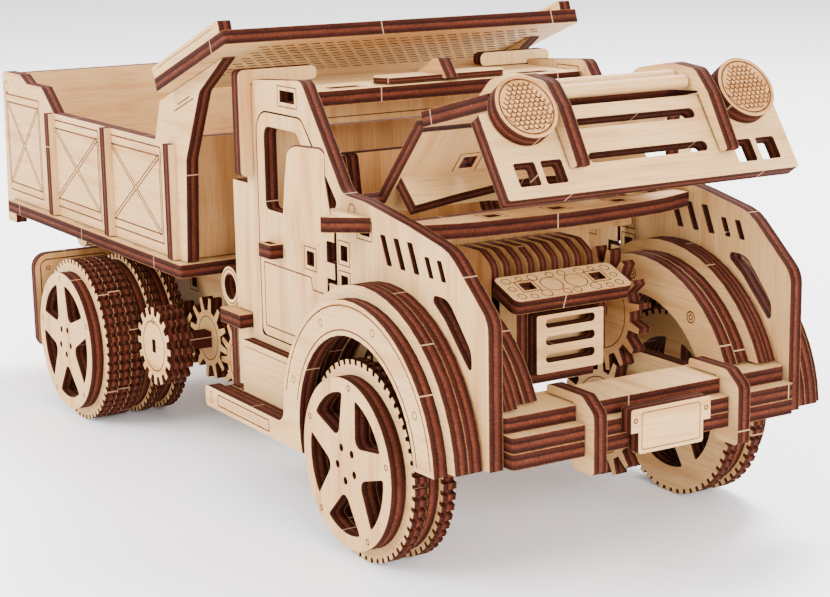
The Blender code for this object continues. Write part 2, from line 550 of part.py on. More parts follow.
def tipping_bed():
    """Floor with hinge lugs, sides with battens, headboard, slotted canopy and tailgate."""
    body("bed_body", BED_PIVOT[0], 0.0, BED_PIVOT[1])
    floor = level("bed_floor", box_outline(-67.4, -45.5, 52.0, 45.5, 0.8), 46.6, "bed_body")
    lug = arc(BED_PIVOT, 4.6, 180.0, 360.0) + [(BED_PIVOT[0] + 8.0, 45.4), (BED_PIVOT[0] - 5.0, 45.4)]
    for side, tag in ((-1, "right"), (1, "left")):
        add(floor, "bed_lug_" + tag, lug, SHEET, SIDEWAYS, (0.0, side * 24.8, 0.0), "bed_body",
            holes=[circle(BED_PIVOT, 1.8, 16)])
        panel = upright("bed_side_" + tag, bed_side_outline(), side * BED_SIDE_Y, "bed_body",
                        holes=[circle(GATE_PIVOT, 1.8, 16)])
        for k in range(3):
            x = -35.5 + 39.4 * k
            add(panel, "batten_%s_%d" % (tag, k), box_outline(x, 48.5, x + SHEET, 76.3), 2.0, SIDEWAYS,
                (0.0, side * 43.8, 0.0), "bed_body")
    crosswise("headboard", box_outline(-39.5, 48.5, 39.5, 77.6), 45.6, "bed_body", colour=BIRCH_WARM)
    slope = math.radians(CANOPY_PITCH)
    length = 40.5
    start = (45.4 + math.sin(slope) * SHEET / 2.0, 0.0, 91.9 - math.cos(slope) * SHEET / 2.0)
    slots = []
    for row in range(4):
        for k in range(9):
            y = -34.0 + 8.0 * k + 4.0 * (row % 2) - 2.0
            slots.append(box_outline(14.0 + 5.0 * row, y, 15.2 + 5.0 * row, y + 5.0))
    canopy = solid("canopy", box_outline(0.0, -47.2, length, 47.2), SHEET, pitched(CANOPY_PITCH), start,
                   "bed_body", holes=slots)
    fin = [(0.5, 1.4), (38.5, 1.4), (38.5, 4.4), (-0.3, 4.4)]
    for y in (-FIN_Y, FIN_Y):
        turn = pitched(CANOPY_PITCH) @ SIDEWAYS
        add(canopy, "canopy_fin", fin, SHEET, turn, (start[0], y, start[2]), "bed_body")
    body("tailgate_body", GATE_PIVOT[0], 0.0, GATE_PIVOT[1])
    gate = crosswise("tailgate", box_outline(-39.5, 42.0, 39.5, 84.4, 1.0), GATE_PIVOT[0],
                     "tailgate_body")
    add(gate, "tailgate_pin", circle(GATE_PIVOT, 1.5, 16), 86.0, SIDEWAYS, (0.0, 0.0, 0.0),
        "tailgate_body")


# ---------------------------------------------------------------- opening hood and doors
def offset(point, angle, amount):
    """Point moved along the upward normal of a slope."""
    t = math.radians(angle)
    return (point[0] - math.sin(t) * amount, 0.0, point[1] + math.cos(t) * amount)


def hood():
    """Two top sheets, leaning grille, ribs, lamps and rods, all standing open."""
    body("hood_body", HOOD_PIVOT[0], 0.0, HOOD_PIVOT[1])
    top = offset((121.3, 72.3), HOOD_PITCH, -SHEET / 2.0)
    rear = rounded([(-1.4, -35.1), (1.8, -35.1), (1.8, -31.5), (24.0, -31.5), (24.0, 31.5),
                    (1.8, 31.5), (1.8, 35.1), (-1.4, 35.1)])
    tabs = [box_outline(11.0, side - 1.7, 14.6, side + 1.7) for side in (-16.0, 16.0)]
    sheet = solid("hood_rear_plate", rear, SHEET, pitched(HOOD_PITCH), top, "hood_body", holes=tabs)
    bow = rounded([(-31.0, 1.0), (31.0, 1.0), (31.0, -7.4), (20.0, -5.7, 40.0), (0.0, -3.2, 60.0),
                   (-20.0, -5.7, 40.0), (-31.0, -7.4)])
    turn = pitched(HOOD_PITCH) @ ACROSS
    former = offset((121.3 + 8.6 * math.cos(math.radians(HOOD_PITCH)),
                     72.3 + 8.6 * math.sin(math.radians(HOOD_PITCH))), HOOD_PITCH, -SHEET)
    add(sheet, "hood_former", bow, SHEET, turn, former, "hood_body")
    cap = [(0.0, -31.5), (24.4, -31.5), (24.4, -20.0), (16.4, -20.0), (16.4, 20.0), (24.4, 20.0),
           (24.4, 31.5), (0.0, 31.5)]
    solid("hood_front_plate", cap, SHEET, pitched(CAP_PITCH),
          offset((139.5, 91.8), CAP_PITCH, -SHEET / 2.0), "hood_body")
    lean = math.radians(GRILLE_LEAN)
    forward = (math.cos(lean), math.sin(lean))
    middle = (GRILLE_FOOT[0] - forward[0] * SHEET / 2.0, 0.0, GRILLE_FOOT[1] - forward[1] * SHEET / 2.0)
    holes = [box_outline(-14.4, 5.7, 14.4, 7.9, 1.0), box_outline(-14.4, 13.0, 14.4, 15.2, 1.0)]
    for y in (-29.2, -23.1, 23.1, 29.2):
        holes.append(box_outline(y - 2.4, 2.4, y + 2.4, 7.3))
    solid("hood_grille", box_outline(-35.1, 0.0, 35.1, 18.0), SHEET, leaning(GRILLE_LEAN), middle,
          "hood_body", holes=holes)
    lamp_out = SHEET + GAP
    for side, tag in ((-1, "right"), (1, "left")):
        spot = (middle[0] + forward[0] * lamp_out, 0.0, middle[2] + forward[1] * lamp_out)
        solid("headlamp_" + tag, circle((side * 26.6, 17.0), 6.6, 28), SHEET, leaning(GRILLE_LEAN), spot,
              "hood_body")
        rib = rounded([(173.5, 83.3), (175.4, 84.0), (169.2, 94.6, 3.0), (165.0, 99.0, 3.0),
                       (157.5, 99.7, 6.0), (146.5, 97.9, 5.0), (141.2, 93.2), (141.2, 92.6),
                       (155.0, 95.8), (156.0, 95.8), (156.4, 94.2), (166.0, 94.7)])
        upright("hood_rib_" + tag, rib, side * 18.1, "hood_body")
    for name, spot in (("grille_rod_upper", (158.6, 97.0)), ("grille_rod_lower", (162.5, 96.3))):
        upright(name, circle(spot, 1.4, 16), 0.0, "hood_body", thick=32.4)


def doors():
    """Hinged cab doors with window, knuckles and a flat handle."""
    for side, tag in ((-1, "right"), (1, "left")):
        owner = "door_body_" + tag
        body(owner, DOOR_PIVOT_X, side * SIDE_Y, 60.0)
        outline = rounded([(81.2, 36.6, 2.0), (81.2, 87.2, 4.8), (102.0, 87.2, 3.0), (112.2, 75.6, 1.5),
                           (112.2, 66.0), (115.6, 66.0), (115.6, 62.6), (112.2, 62.6), (112.2, 58.0),
                           (115.6, 58.0), (115.6, 54.6), (112.2, 54.6),
                           *door_front_arc(36.0, 48.8, 42.0), (100.4, 36.6)])
        window = rounded([(84.6, 65.6, 1.6), (84.6, 84.2, 2.4), (99.8, 84.2, 2.0), (109.0, 73.6, 1.5),
                          (109.0, 65.6, 1.6)])
        panel = upright("door_" + tag, outline, side * SIDE_Y, owner, holes=[window])
        handle = box_outline(86.4, -42.0, 92.4, -38.5)
        if side > 0:
            handle = [(x, -y) for x, y in reversed(handle)]
        add(panel, "door_handle_" + tag, handle, SHEET, LEVEL, (0.0, 0.0, 57.2), owner)


def build():
    """Clear the scene and build every piece."""
    for old in list(bpy.data.objects):
        bpy.data.objects.remove(old)
    bpy.context.scene.collection.children.link(parts)
    bpy.context.scene.collection.children.link(cutters)
    chassis()
    cab_shell()
    cab_seat()
    engine()
    bumper()
    wings()
    front_running_gear()
    rear_running_gear()
    tipping_bed()
    hood()
    doors()


build()
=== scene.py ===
"""Looks of a laser-cut plywood dump truck kit: every sheet with its burnt edge, grain and engraving.

Lengths in the outlines are millimetres: X forward from the rear axle, Y to the truck's left, Z up
from the ground.  The rear axle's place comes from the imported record.
"""

import json
import logging
import math
from dataclasses import dataclass
from enum import Enum
from typing import Any, Iterable, Optional, Sequence

import bpy
import numpy as np
from mathutils import Matrix, Vector, geometry

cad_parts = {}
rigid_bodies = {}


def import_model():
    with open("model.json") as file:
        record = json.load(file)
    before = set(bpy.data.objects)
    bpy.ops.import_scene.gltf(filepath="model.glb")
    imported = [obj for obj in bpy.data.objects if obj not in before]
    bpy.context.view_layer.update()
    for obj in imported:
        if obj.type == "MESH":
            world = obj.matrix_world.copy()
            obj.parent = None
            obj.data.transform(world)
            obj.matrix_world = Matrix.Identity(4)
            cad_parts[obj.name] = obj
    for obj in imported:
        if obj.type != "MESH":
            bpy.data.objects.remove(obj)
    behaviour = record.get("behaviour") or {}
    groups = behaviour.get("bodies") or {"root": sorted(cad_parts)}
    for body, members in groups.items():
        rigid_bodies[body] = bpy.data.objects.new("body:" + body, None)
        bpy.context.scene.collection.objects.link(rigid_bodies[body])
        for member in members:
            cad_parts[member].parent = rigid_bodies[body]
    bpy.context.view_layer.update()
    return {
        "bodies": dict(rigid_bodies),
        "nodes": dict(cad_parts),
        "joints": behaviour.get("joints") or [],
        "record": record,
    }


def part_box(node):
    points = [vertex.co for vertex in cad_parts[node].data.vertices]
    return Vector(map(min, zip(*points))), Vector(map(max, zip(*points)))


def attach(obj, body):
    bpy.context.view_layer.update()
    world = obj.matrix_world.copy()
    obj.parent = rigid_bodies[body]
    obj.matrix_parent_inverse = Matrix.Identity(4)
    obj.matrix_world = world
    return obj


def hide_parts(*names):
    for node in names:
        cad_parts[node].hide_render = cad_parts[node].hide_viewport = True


log = logging.getLogger("truck")

MM = 0.001  # metres in a millimetre
SHEET = 3.2  # thickness of the plywood
ARC_STEP = 8.0  # degrees between the points of an arc
ROUND = 5  # spokes, openings and studs of a wheel
TEETH_FINE = 54  # teeth round a tyre sheet
BITE = 0.02  # how far an engraved strip stands into its sheet and out of it

LINE, FINE_LINE, FRAME_LINE, RING_LINE = 0.34, 0.2, 0.26, 0.28  # widths of engraved lines

ARCH = (139.0, 25.0)  # centre of the front wheel arches in X and Z
ARCH_CUT = (137.5, 24.0)  # centre of the cab side's wheel opening
ARCH_INNER = 23.2  # inner radius of the skirt and of the stepped arches
CAB_SIDE_Y = 37.1  # mid-plane of the cab's sides and doors
BED_SIDE_Y = 41.4  # mid-plane of the bed's sides

Point = tuple[float, float]
Corner = tuple[float, ...]
Colour = tuple[float, float, float, float]
Loop = np.ndarray
Tree = bpy.types.NodeTree
Node = bpy.types.Node
Socket = bpy.types.NodeSocket
Material = bpy.types.Material


# ------------------------------------------------------------------ outlines
def arc(centre: Point, radius: float, start: float, end: float) -> list[Point]:
    """Points along an arc, both ends included.

    Args:
        centre: middle of the arc.
        radius: its radius.
        start: first angle in degrees.
        end: last angle in degrees.

    Returns:
        The points, one every few degrees.
    """
    steps = max(2, math.ceil(abs(end - start) / ARC_STEP))
    turn = np.radians(np.linspace(start, end, steps + 1))
    return list(zip(centre[0] + radius * np.cos(turn), centre[1] + radius * np.sin(turn)))


def rounded(corners: Sequence[Corner]) -> list[Point]:
    """Outline whose corners are laid as arcs.

    Args:
        corners: (u, v) or (u, v, radius) for each corner in turn.

    Returns:
        The closed outline's points.
    """
    outline: list[Point] = []
    count = len(corners)
    for i, corner in enumerate(corners):
        here = Vector(corner[:2])
        radius = corner[2] if len(corner) > 2 else 0.0
        if radius == 0.0:
            outline.append((here.x, here.y))
            continue
        back = (Vector(corners[i - 1][:2]) - here).normalized()
        ahead = (Vector(corners[(i + 1) % count][:2]) - here).normalized()
        half = back.angle(ahead) / 2.0
        middle = here + (back + ahead).normalized() * (radius / math.sin(half))
        first = here + back * (radius / math.tan(half)) - middle
        last = here + ahead * (radius / math.tan(half)) - middle
        begin = math.atan2(first.y, first.x)
        sweep = (math.atan2(last.y, last.x) - begin + math.pi) % (2.0 * math.pi) - math.pi
        steps = max(2, math.ceil(math.degrees(abs(sweep)) / (2.0 * ARC_STEP)))
        turn = begin + sweep * np.linspace(0.0, 1.0, steps + 1)
        outline += list(zip(middle.x + radius * np.cos(turn), middle.y + radius * np.sin(turn)))
    return outline


def rectangle(u0: float, v0: float, u1: float, v1: float, radius: float = 0.0) -> list[Point]:
    """Rectangle between two corners, rounded when a radius is given."""
    return rounded([(u0, v0, radius), (u1, v0, radius), (u1, v1, radius), (u0, v1, radius)])


def circle(centre: Point, radius: float, steps: int = 48) -> list[Point]:
    """Circle as a closed outline."""
    turn = np.linspace(0.0, 2.0 * math.pi, steps, endpoint=False)
    return list(zip(centre[0] + radius * np.cos(turn), centre[1] + radius * np.sin(turn)))


def polar(centre: Point, radius: float, angle: float) -> Point:
    """Point at a radius and an angle in degrees from a centre."""
    turn = math.radians(angle)
    return (centre[0] + radius * math.cos(turn), centre[1] + radius * math.sin(turn))


def angle_at(centre: Point, radius: float, height: float) -> float:
    """Angle in degrees at which a circle's forward half reaches a height."""
    return math.degrees(math.asin((height - centre[1]) / radius))


def tooth_ring(centre: Point, count: int, root: float, tip: float, first: float,
               foot: float, crown: float) -> list[Point]:
    """Ring of straight-sided teeth: radius steps between root and tip four times a pitch.

    Args:
        centre: middle of the ring.
        count: number of teeth.
        root: radius between the teeth.
        tip: radius of the crowns.
        first: angle of one tooth's middle, in degrees.
        foot: half width of a tooth at its root, as a share of the pitch.
        crown: half width at its tip.

    Returns:
        The closed outline.
    """
    pitch = 2.0 * math.pi / count
    shifts = np.array([-foot, -crown, crown, foot]) * pitch
    radii = np.tile([root, tip, tip, root], count)
    turn = (math.radians(first) + pitch * np.arange(count)[:, None] + shifts).ravel()
    return list(zip(centre[0] + radii * np.cos(turn), centre[1] + radii * np.sin(turn)))


def mirrored(outline: Sequence[Corner]) -> list[Point]:
    """Outline reflected to the other side of v's axis."""
    return [(-p[0], p[1]) for p in reversed(outline)]


def flipped(outline: Sequence[Corner]) -> list[Point]:
    """Outline reflected to the other side of u's axis."""
    return [(p[0], -p[1]) for p in reversed(outline)]


def even(half: Sequence[Corner], *middle: Corner) -> list[Corner]:
    """Corners of one half, those on the centre line, then the half reflected across u's axis."""
    return [*half, *middle, *((corner[0], -corner[1], *corner[2:]) for corner in reversed(half))]


# ------------------------------------------------------------------ sheets
class Face(Enum):
    """Which flat side of a sheet the laser has engraved."""

    FRONT = 1
    BACK = -1
    BOTH = 0


class Grain(Enum):
    """Which way the face veneer's fibres run in a sheet."""

    ALONG = 0
    UP = 1


@dataclass
class Stroke:
    """One engraved line: a path in the sheet's plane."""

    path: Sequence[Point]
    closed: bool = True
    width: float = LINE
    face: Face = Face.FRONT


def scored(*path: Point, face: Face = Face.FRONT, width: float = LINE) -> Stroke:
    """Engraved line with two free ends."""
    return Stroke(path, closed=False, width=width, face=face)


def outward(side: int) -> Face:
    """Face of a lengthwise sheet that looks to a side: -1 right, 1 left."""
    return Face.FRONT if side < 0 else Face.BACK


@dataclass
class Sheet:
    """One laser-cut sheet, centred on its mid-thickness before it is turned and placed."""

    outline: Sequence[Point]
    turn: Matrix
    origin: tuple[float, float, float]
    thick: float = SHEET
    holes: Sequence[Sequence[Point]] = ()
    strokes: Sequence[Stroke] = ()
    grain: Grain = Grain.ALONG
    # face that takes the darker, warmer veneer: painted shade
    warm: Optional[Face] = None


SIDEWAYS = Matrix.Rotation(math.pi / 2.0, 4, "X")
ACROSS = Matrix.Rotation(math.pi / 2.0, 4, "Z") @ SIDEWAYS
LEVEL = Matrix.Identity(4)


def pitched(degrees: float) -> Matrix:
    """Level sheet turned so that its forward end rises."""
    return Matrix.Rotation(-math.radians(degrees), 4, "Y")


def upright(outline: Sequence[Point], y: float, **more: Any) -> Sheet:
    """Sheet standing lengthwise; outline in X and Z."""
    return Sheet(outline, SIDEWAYS, (0.0, y, 0.0), **more)


def crosswise(outline: Sequence[Point], x: float, **more: Any) -> Sheet:
    """Sheet standing across the truck; outline in Y and Z."""
    return Sheet(outline, ACROSS, (x, 0.0, 0.0), **more)


def level(outline: Sequence[Point], z: float, **more: Any) -> Sheet:
    """Sheet lying flat; outline in X and Y."""
    return Sheet(outline, LEVEL, (0.0, 0.0, z), **more)


def signed_area(loop: Loop) -> float:
    """Half the sum of cross products round a loop; positive anticlockwise."""
    ahead = np.roll(loop, -1, axis=0)
    return 0.5 * float(np.sum(loop[:, 0] * ahead[:, 1] - loop[:, 1] * ahead[:, 0]))


def facing(loop: Sequence[Point], anticlockwise: bool) -> Loop:
    """Loop as an array that runs the asked way round."""
    points = np.array([p[:2] for p in loop], float)
    return points if (signed_area(points) > 0.0) == anticlockwise else points[::-1]


class Shell:
    """Mesh under construction: vertices, faces, UVs and material slots gathered from sheets."""

    def __init__(self) -> None:
        """Start empty."""
        self.verts: list[np.ndarray] = []
        self.faces: list[tuple[int, ...]] = []
        self.uvs: list[np.ndarray] = []
        self.slots: list[int] = []
        self.count = 0

    def add(self, verts: np.ndarray, faces: Iterable[Sequence[int]], uvs: np.ndarray, slot: int) -> None:
        """Append faces that index into verts.

        Args:
            verts: (n, 3) points in millimetres.
            faces: vertex numbers of each face.
            uvs: (corners, 2) values, one for each face corner in order.
            slot: material slot of these faces.
        """
        self.grow(faces, uvs, slot, self.count)
        self.verts.append(verts)
        self.count += len(verts)

    def grow(self, faces: Iterable[Sequence[int]], uvs: np.ndarray, slot: int, base: int) -> None:
        """Append faces that share the vertices added from number base on."""
        fresh = [tuple(int(i) + base for i in face) for face in faces]
        self.faces += fresh
        self.slots += [slot] * len(fresh)
        self.uvs.append(uvs)

    def mesh(self, name: str, materials: Sequence[Material], smooth: float = 28.0) -> bpy.types.Mesh:
        """Make the Blender mesh.

        Args:
            name: mesh name.
            materials: one material for each slot.
            smooth: edges flatter than this angle are shaded smooth.

        Returns:
            The mesh, in metres.
        """
        mesh = bpy.data.meshes.new(name)
        mesh.from_pydata((np.vstack(self.verts) * MM).tolist(), [], self.faces)
        layer = mesh.uv_layers.new(name="cut")
        layer.data.foreach_set("uv", np.vstack(self.uvs).ravel())
        mesh.polygons.foreach_set("material_index", self.slots)
        for material in materials:
            mesh.materials.append(material)
        mesh.shade_smooth()
        mesh.set_sharp_from_angle(angle=math.radians(smooth))
        mesh.update()
        return mesh


FACE_SLOT, EDGE_SLOT, LINE_SLOT, SHADED_WARM_SLOT = 0, 1, 2, 3


class Cutter:
    """Turns sheets into mesh: caps from the filled outline, walls from the outline carried through
    the thickness, engraved lines as thin strips on the faces."""

    def __init__(self, shift: float) -> None:
        """Keep the place of the rear axle along X, in millimetres."""
        self.shift = shift
        self.random = np.random.default_rng(7)

    def placed(self, sheet: Sheet, flat: np.ndarray) -> np.ndarray:
        """Points of the sheet's own frame turned and moved into the row frame."""
        turn = np.array(sheet.turn.to_3x3())
        return flat @ turn.T + np.array(sheet.origin) + np.array([self.shift, 0.0, 0.0])

    def cut(self, shell: Shell, sheet: Sheet) -> None:
        """Add one sheet to a shell.

        Args:
            shell: mesh being gathered.
            sheet: the sheet to add.
        """
        loops = [facing(sheet.outline, True)] + [facing(hole, False) for hole in sheet.holes]
        plan = np.vstack(loops)
        half = sheet.thick / 2.0
        total = len(plan)
        flat = np.vstack([np.column_stack([plan, np.full(total, -half)]),
                          np.column_stack([plan, np.full(total, half)])])
        base = shell.count
        triangles = np.array(geometry.tessellate_polygon([[Vector((*p, 0.0)) for p in loop]
                                                          for loop in loops]))
        a, b, c = (plan[triangles[:, k]] for k in range(3))
        turned = np.cross(b - a, c - a) < 0.0
        triangles[turned] = triangles[turned][:, ::-1]
        offset = self.random.uniform(0.0, 400.0, 2)
        spread = (plan + offset) * MM
        if sheet.grain is Grain.UP:
            spread = spread[:, ::-1]
        front, back = triangles + total, triangles[:, ::-1]
        # faces named by the sheet take the darker, warmer veneer: painted shade
        slots = [SHADED_WARM_SLOT if sheet.warm in (face, Face.BOTH) else FACE_SLOT
                 for face in (Face.FRONT, Face.BACK)]
        shell.add(self.placed(sheet, flat), front, spread[front.ravel() % total], slots[0])
        shell.grow(back, spread[back.ravel() % total], slots[1], base)
        start = 0
        for loop in loops:
            count = len(loop)
            here = np.arange(count) + start
            ahead = np.roll(here, -1)
            span = np.linalg.norm(plan[ahead] - plan[here], axis=1)
            run = np.concatenate([[0.0], np.cumsum(span)]) * MM + float(self.random.uniform(0.0, 0.2))
            walls = np.column_stack([here, ahead, ahead + total, here + total])
            uvs = np.zeros((count, 4, 2))
            uvs[:, 0, 0] = uvs[:, 3, 0] = run[:-1]
            uvs[:, 1, 0] = uvs[:, 2, 0] = run[1:]
            uvs[:, 2:, 1] = 1.0
            shell.grow(walls, uvs.reshape(-1, 2), EDGE_SLOT, base)
            start += count
        for stroke in sheet.strokes:
            self.engrave(shell, sheet, stroke)

    def engrave(self, shell: Shell, sheet: Sheet, stroke: Stroke) -> None:
        """Add an engraved line: a rectangle profile carried along the path, its corners mitred.

        Args:
            shell: mesh being gathered.
            sheet: the sheet that carries the line.
            stroke: the line.
        """
        path = np.array([p[:2] for p in stroke.path], float)
        count = len(path)
        ahead = np.roll(path, -1, axis=0) - path
        behind = path - np.roll(path, 1, axis=0)
        if not stroke.closed:
            ahead[-1] = behind[-1]
            behind[0] = ahead[0]
        ahead /= np.linalg.norm(ahead, axis=1, keepdims=True)
        behind /= np.linalg.norm(behind, axis=1, keepdims=True)
        normal = np.column_stack([-(ahead + behind)[:, 1], (ahead + behind)[:, 0]])
        normal /= np.maximum(np.linalg.norm(normal, axis=1, keepdims=True), 1e-6)
        square = np.column_stack([-ahead[:, 1], ahead[:, 0]])
        mitre = np.clip(np.sum(normal * square, axis=1, keepdims=True), 0.5, 1.0)
        side = normal * stroke.width / 2.0 / mitre
        for way in ((1, -1) if stroke.face is Face.BOTH else (stroke.face.value,)):
            low, high = (sheet.thick / 2.0 - BITE) * way, (sheet.thick / 2.0 + BITE) * way
            ring = [np.column_stack([path + s, np.full(count, z)])
                    for s, z in ((side, low), (side, high), (-side, high), (-side, low))]
            flat = np.stack(ring, axis=1).reshape(-1, 3)
            last = count if stroke.closed else count - 1
            i = np.arange(last)[:, None] * 4
            j = (np.arange(last)[:, None] + 1) % count * 4
            k = np.arange(4)[None, :]
            quads = np.stack([i + k, i + (k + 1) % 4, j + (k + 1) % 4, j + k], axis=-1).reshape(-1, 4)
            faces = [tuple(q) for q in quads]
            if not stroke.closed:
                end = (count - 1) * 4
                faces += [(3, 2, 1, 0), (end, end + 1, end + 2, end + 3)]
            if way > 0:
                faces = [tuple(reversed(f)) for f in faces]
            corners = sum(len(f) for f in faces)
            shell.add(self.placed(sheet, flat), faces, np.zeros((corners, 2)), LINE_SLOT)


# ------------------------------------------------------------------ finishes
UNCHANGED = (1.0, 1.0, 1.0, 1.0)


def linear(code: str) -> tuple[float, float, float, float]:
    """Linear colour from an sRGB hex code."""
    parts = np.array([int(code[i:i + 2], 16) / 255.0 for i in (1, 3, 5)])
    light = np.where(parts <= 0.04045, parts / 12.92, ((parts + 0.055) / 1.055) ** 2.4)
    return (*(float(v) for v in light), 1.0)


def add_node(tree: Tree, kind: str, links: Optional[dict[str, Any]] = None,
             **settings: Any) -> Node:
    """Add a shader node.

    Args:
        tree: node tree that takes it.
        kind: Blender's node type.
        links: input name or number to an output socket or a plain value.
        settings: attributes set on the node.

    Returns:
        The node.
    """
    node = tree.nodes.new(kind)
    for key, value in settings.items():
        setattr(node, key, value)
    for key, value in (links or {}).items():
        if isinstance(value, Socket):
            tree.links.new(value, node.inputs[key])
        else:
            node.inputs[key].default_value = value
    return node


def ramp(tree: Tree, factor: Socket,
         stops: Sequence[tuple[float, str]]) -> Socket:
    """Colour ramp through sRGB hex stops; returns its colour output."""
    node = add_node(tree, "ShaderNodeValToRGB", {"Fac": factor})
    elements = node.color_ramp.elements
    while len(elements) < len(stops):
        elements.new(0.5)
    for element, (place, code) in zip(elements, stops):
        element.position = place
        element.color = linear(code)
    return node.outputs["Color"]


def mask(tree: Tree, value: Socket, low: float, high: float) -> Socket:
    """Smooth step from 0 at low to 1 at high."""
    node = add_node(tree, "ShaderNodeMapRange", {"Value": value, "From Min": low, "From Max": high})
    return node.outputs["Result"]


def mix(tree: Tree, factor: Any, first: Any, second: Any,
        blend: str = "MIX") -> Socket:
    """Mix two colours; returns the result."""
    node = add_node(tree, "ShaderNodeMix", data_type="RGBA", blend_type=blend)
    for index, value in ((0, factor), (6, first), (7, second)):
        if isinstance(value, Socket):
            tree.links.new(value, node.inputs[index])
        else:
            node.inputs[index].default_value = value
    return node.outputs[2]


def maths(tree: Tree, operation: str, *values: Any) -> Socket:
    """Arithmetic on sockets or plain values; returns the result."""
    return add_node(tree, "ShaderNodeMath", dict(enumerate(values)), operation=operation).outputs[0]


def pattern(tree: Tree, along: float, across: float, detail: float = 3.0,
            rough: float = 0.55) -> Socket:
    """Noise on the cut UV map, its cells along by across millimetres.

    Args:
        tree: node tree.
        along: cell length along the fibres, in millimetres.
        across: cell width across them.
        detail: octaves.
        rough: weight of the finer octaves.

    Returns:
        The noise value, about 0.5 on average.
    """
    uv = add_node(tree, "ShaderNodeUVMap", uv_map="cut").outputs["UV"]
    scaled = add_node(tree, "ShaderNodeMapping", {"Vector": uv})
    scaled.inputs["Scale"].default_value = (1.0 / (along * MM), 1.0 / (across * MM), 1.0)
    noise = add_node(tree, "ShaderNodeTexNoise", {"Vector": scaled.outputs["Vector"], "Scale": 1.0,
                                                  "Detail": detail, "Roughness": rough})
    return noise.outputs["Fac"]


def surface(name: str) -> tuple[Material, Tree, Node]:
    """New material with its tree and its Principled shader."""
    material = bpy.data.materials.new(name)
    material.use_nodes = True
    tree = material.node_tree
    return material, tree, tree.nodes["Principled BSDF"]


def relief(tree: Tree, shader: Node, height: Socket,
           strength: float, depth: float) -> None:
    """Bump of a depth in millimetres."""
    bump = add_node(tree, "ShaderNodeBump",
                    {"Height": height, "Strength": strength, "Distance": depth * MM})
    tree.links.new(bump.outputs["Normal"], shader.inputs["Normal"])


@dataclass(frozen=True)
class BirchFace:
    """Sanded rotary-cut birch veneer: pale, silky, fine fibres with faint growth bands and short pores."""

    name: str = "sanded birch veneer"
    pale: str = "#c39e6c"
    deep: str = "#a97f4f"
    band: str = "#a67745"
    pore: str = "#744a24"
    cloud: Colour = (0.91, 0.86, 0.79, 1.0)  # multiplies the colour in the darker clouds
    pore_depth: float = 0.45
    roughness: float = 0.58
    specular: float = 0.2

    def make(self) -> Material:
        """Build the material: fibre noise 12 by 0.5 mm, growth bands 60 by 5 mm, pores 2.5 by 0.16 mm."""
        material, tree, shader = surface(self.name)
        fibre = pattern(tree, 12.0, 0.5, 4.0, 0.6)
        band, cloud, pore = (pattern(tree, *cells)
                             for cells in ((60.0, 5.0, 2.0), (30.0, 22.0, 2.0), (2.5, 0.16, 1.0)))
        colour = ramp(tree, mask(tree, fibre, 0.25, 0.75),
                      [(0.0, self.deep), (0.55, self.pale), (1.0, self.pale)])
        colour = mix(tree, mask(tree, band, 0.52, 0.75), colour, linear(self.band))
        toned = mix(tree, mask(tree, cloud, 0.35, 0.7), self.cloud, UNCHANGED)
        colour = mix(tree, 1.0, colour, toned, "MULTIPLY")
        fleck = maths(tree, "MULTIPLY", mask(tree, pore, 0.66, 0.74), self.pore_depth)
        colour = mix(tree, fleck, colour, linear(self.pore))
        tree.links.new(colour, shader.inputs["Base Color"])
        gloss = add_node(tree, "ShaderNodeMapRange", {"Value": fibre, "To Min": self.roughness - 0.08,
                                                      "To Max": self.roughness + 0.12})
        tree.links.new(gloss.outputs["Result"], shader.inputs["Roughness"])
        shader.inputs["IOR"].default_value = 1.5
        shader.inputs["Specular IOR Level"].default_value = self.specular
        relief(tree, shader, fibre, 0.25, 0.05)
        return material


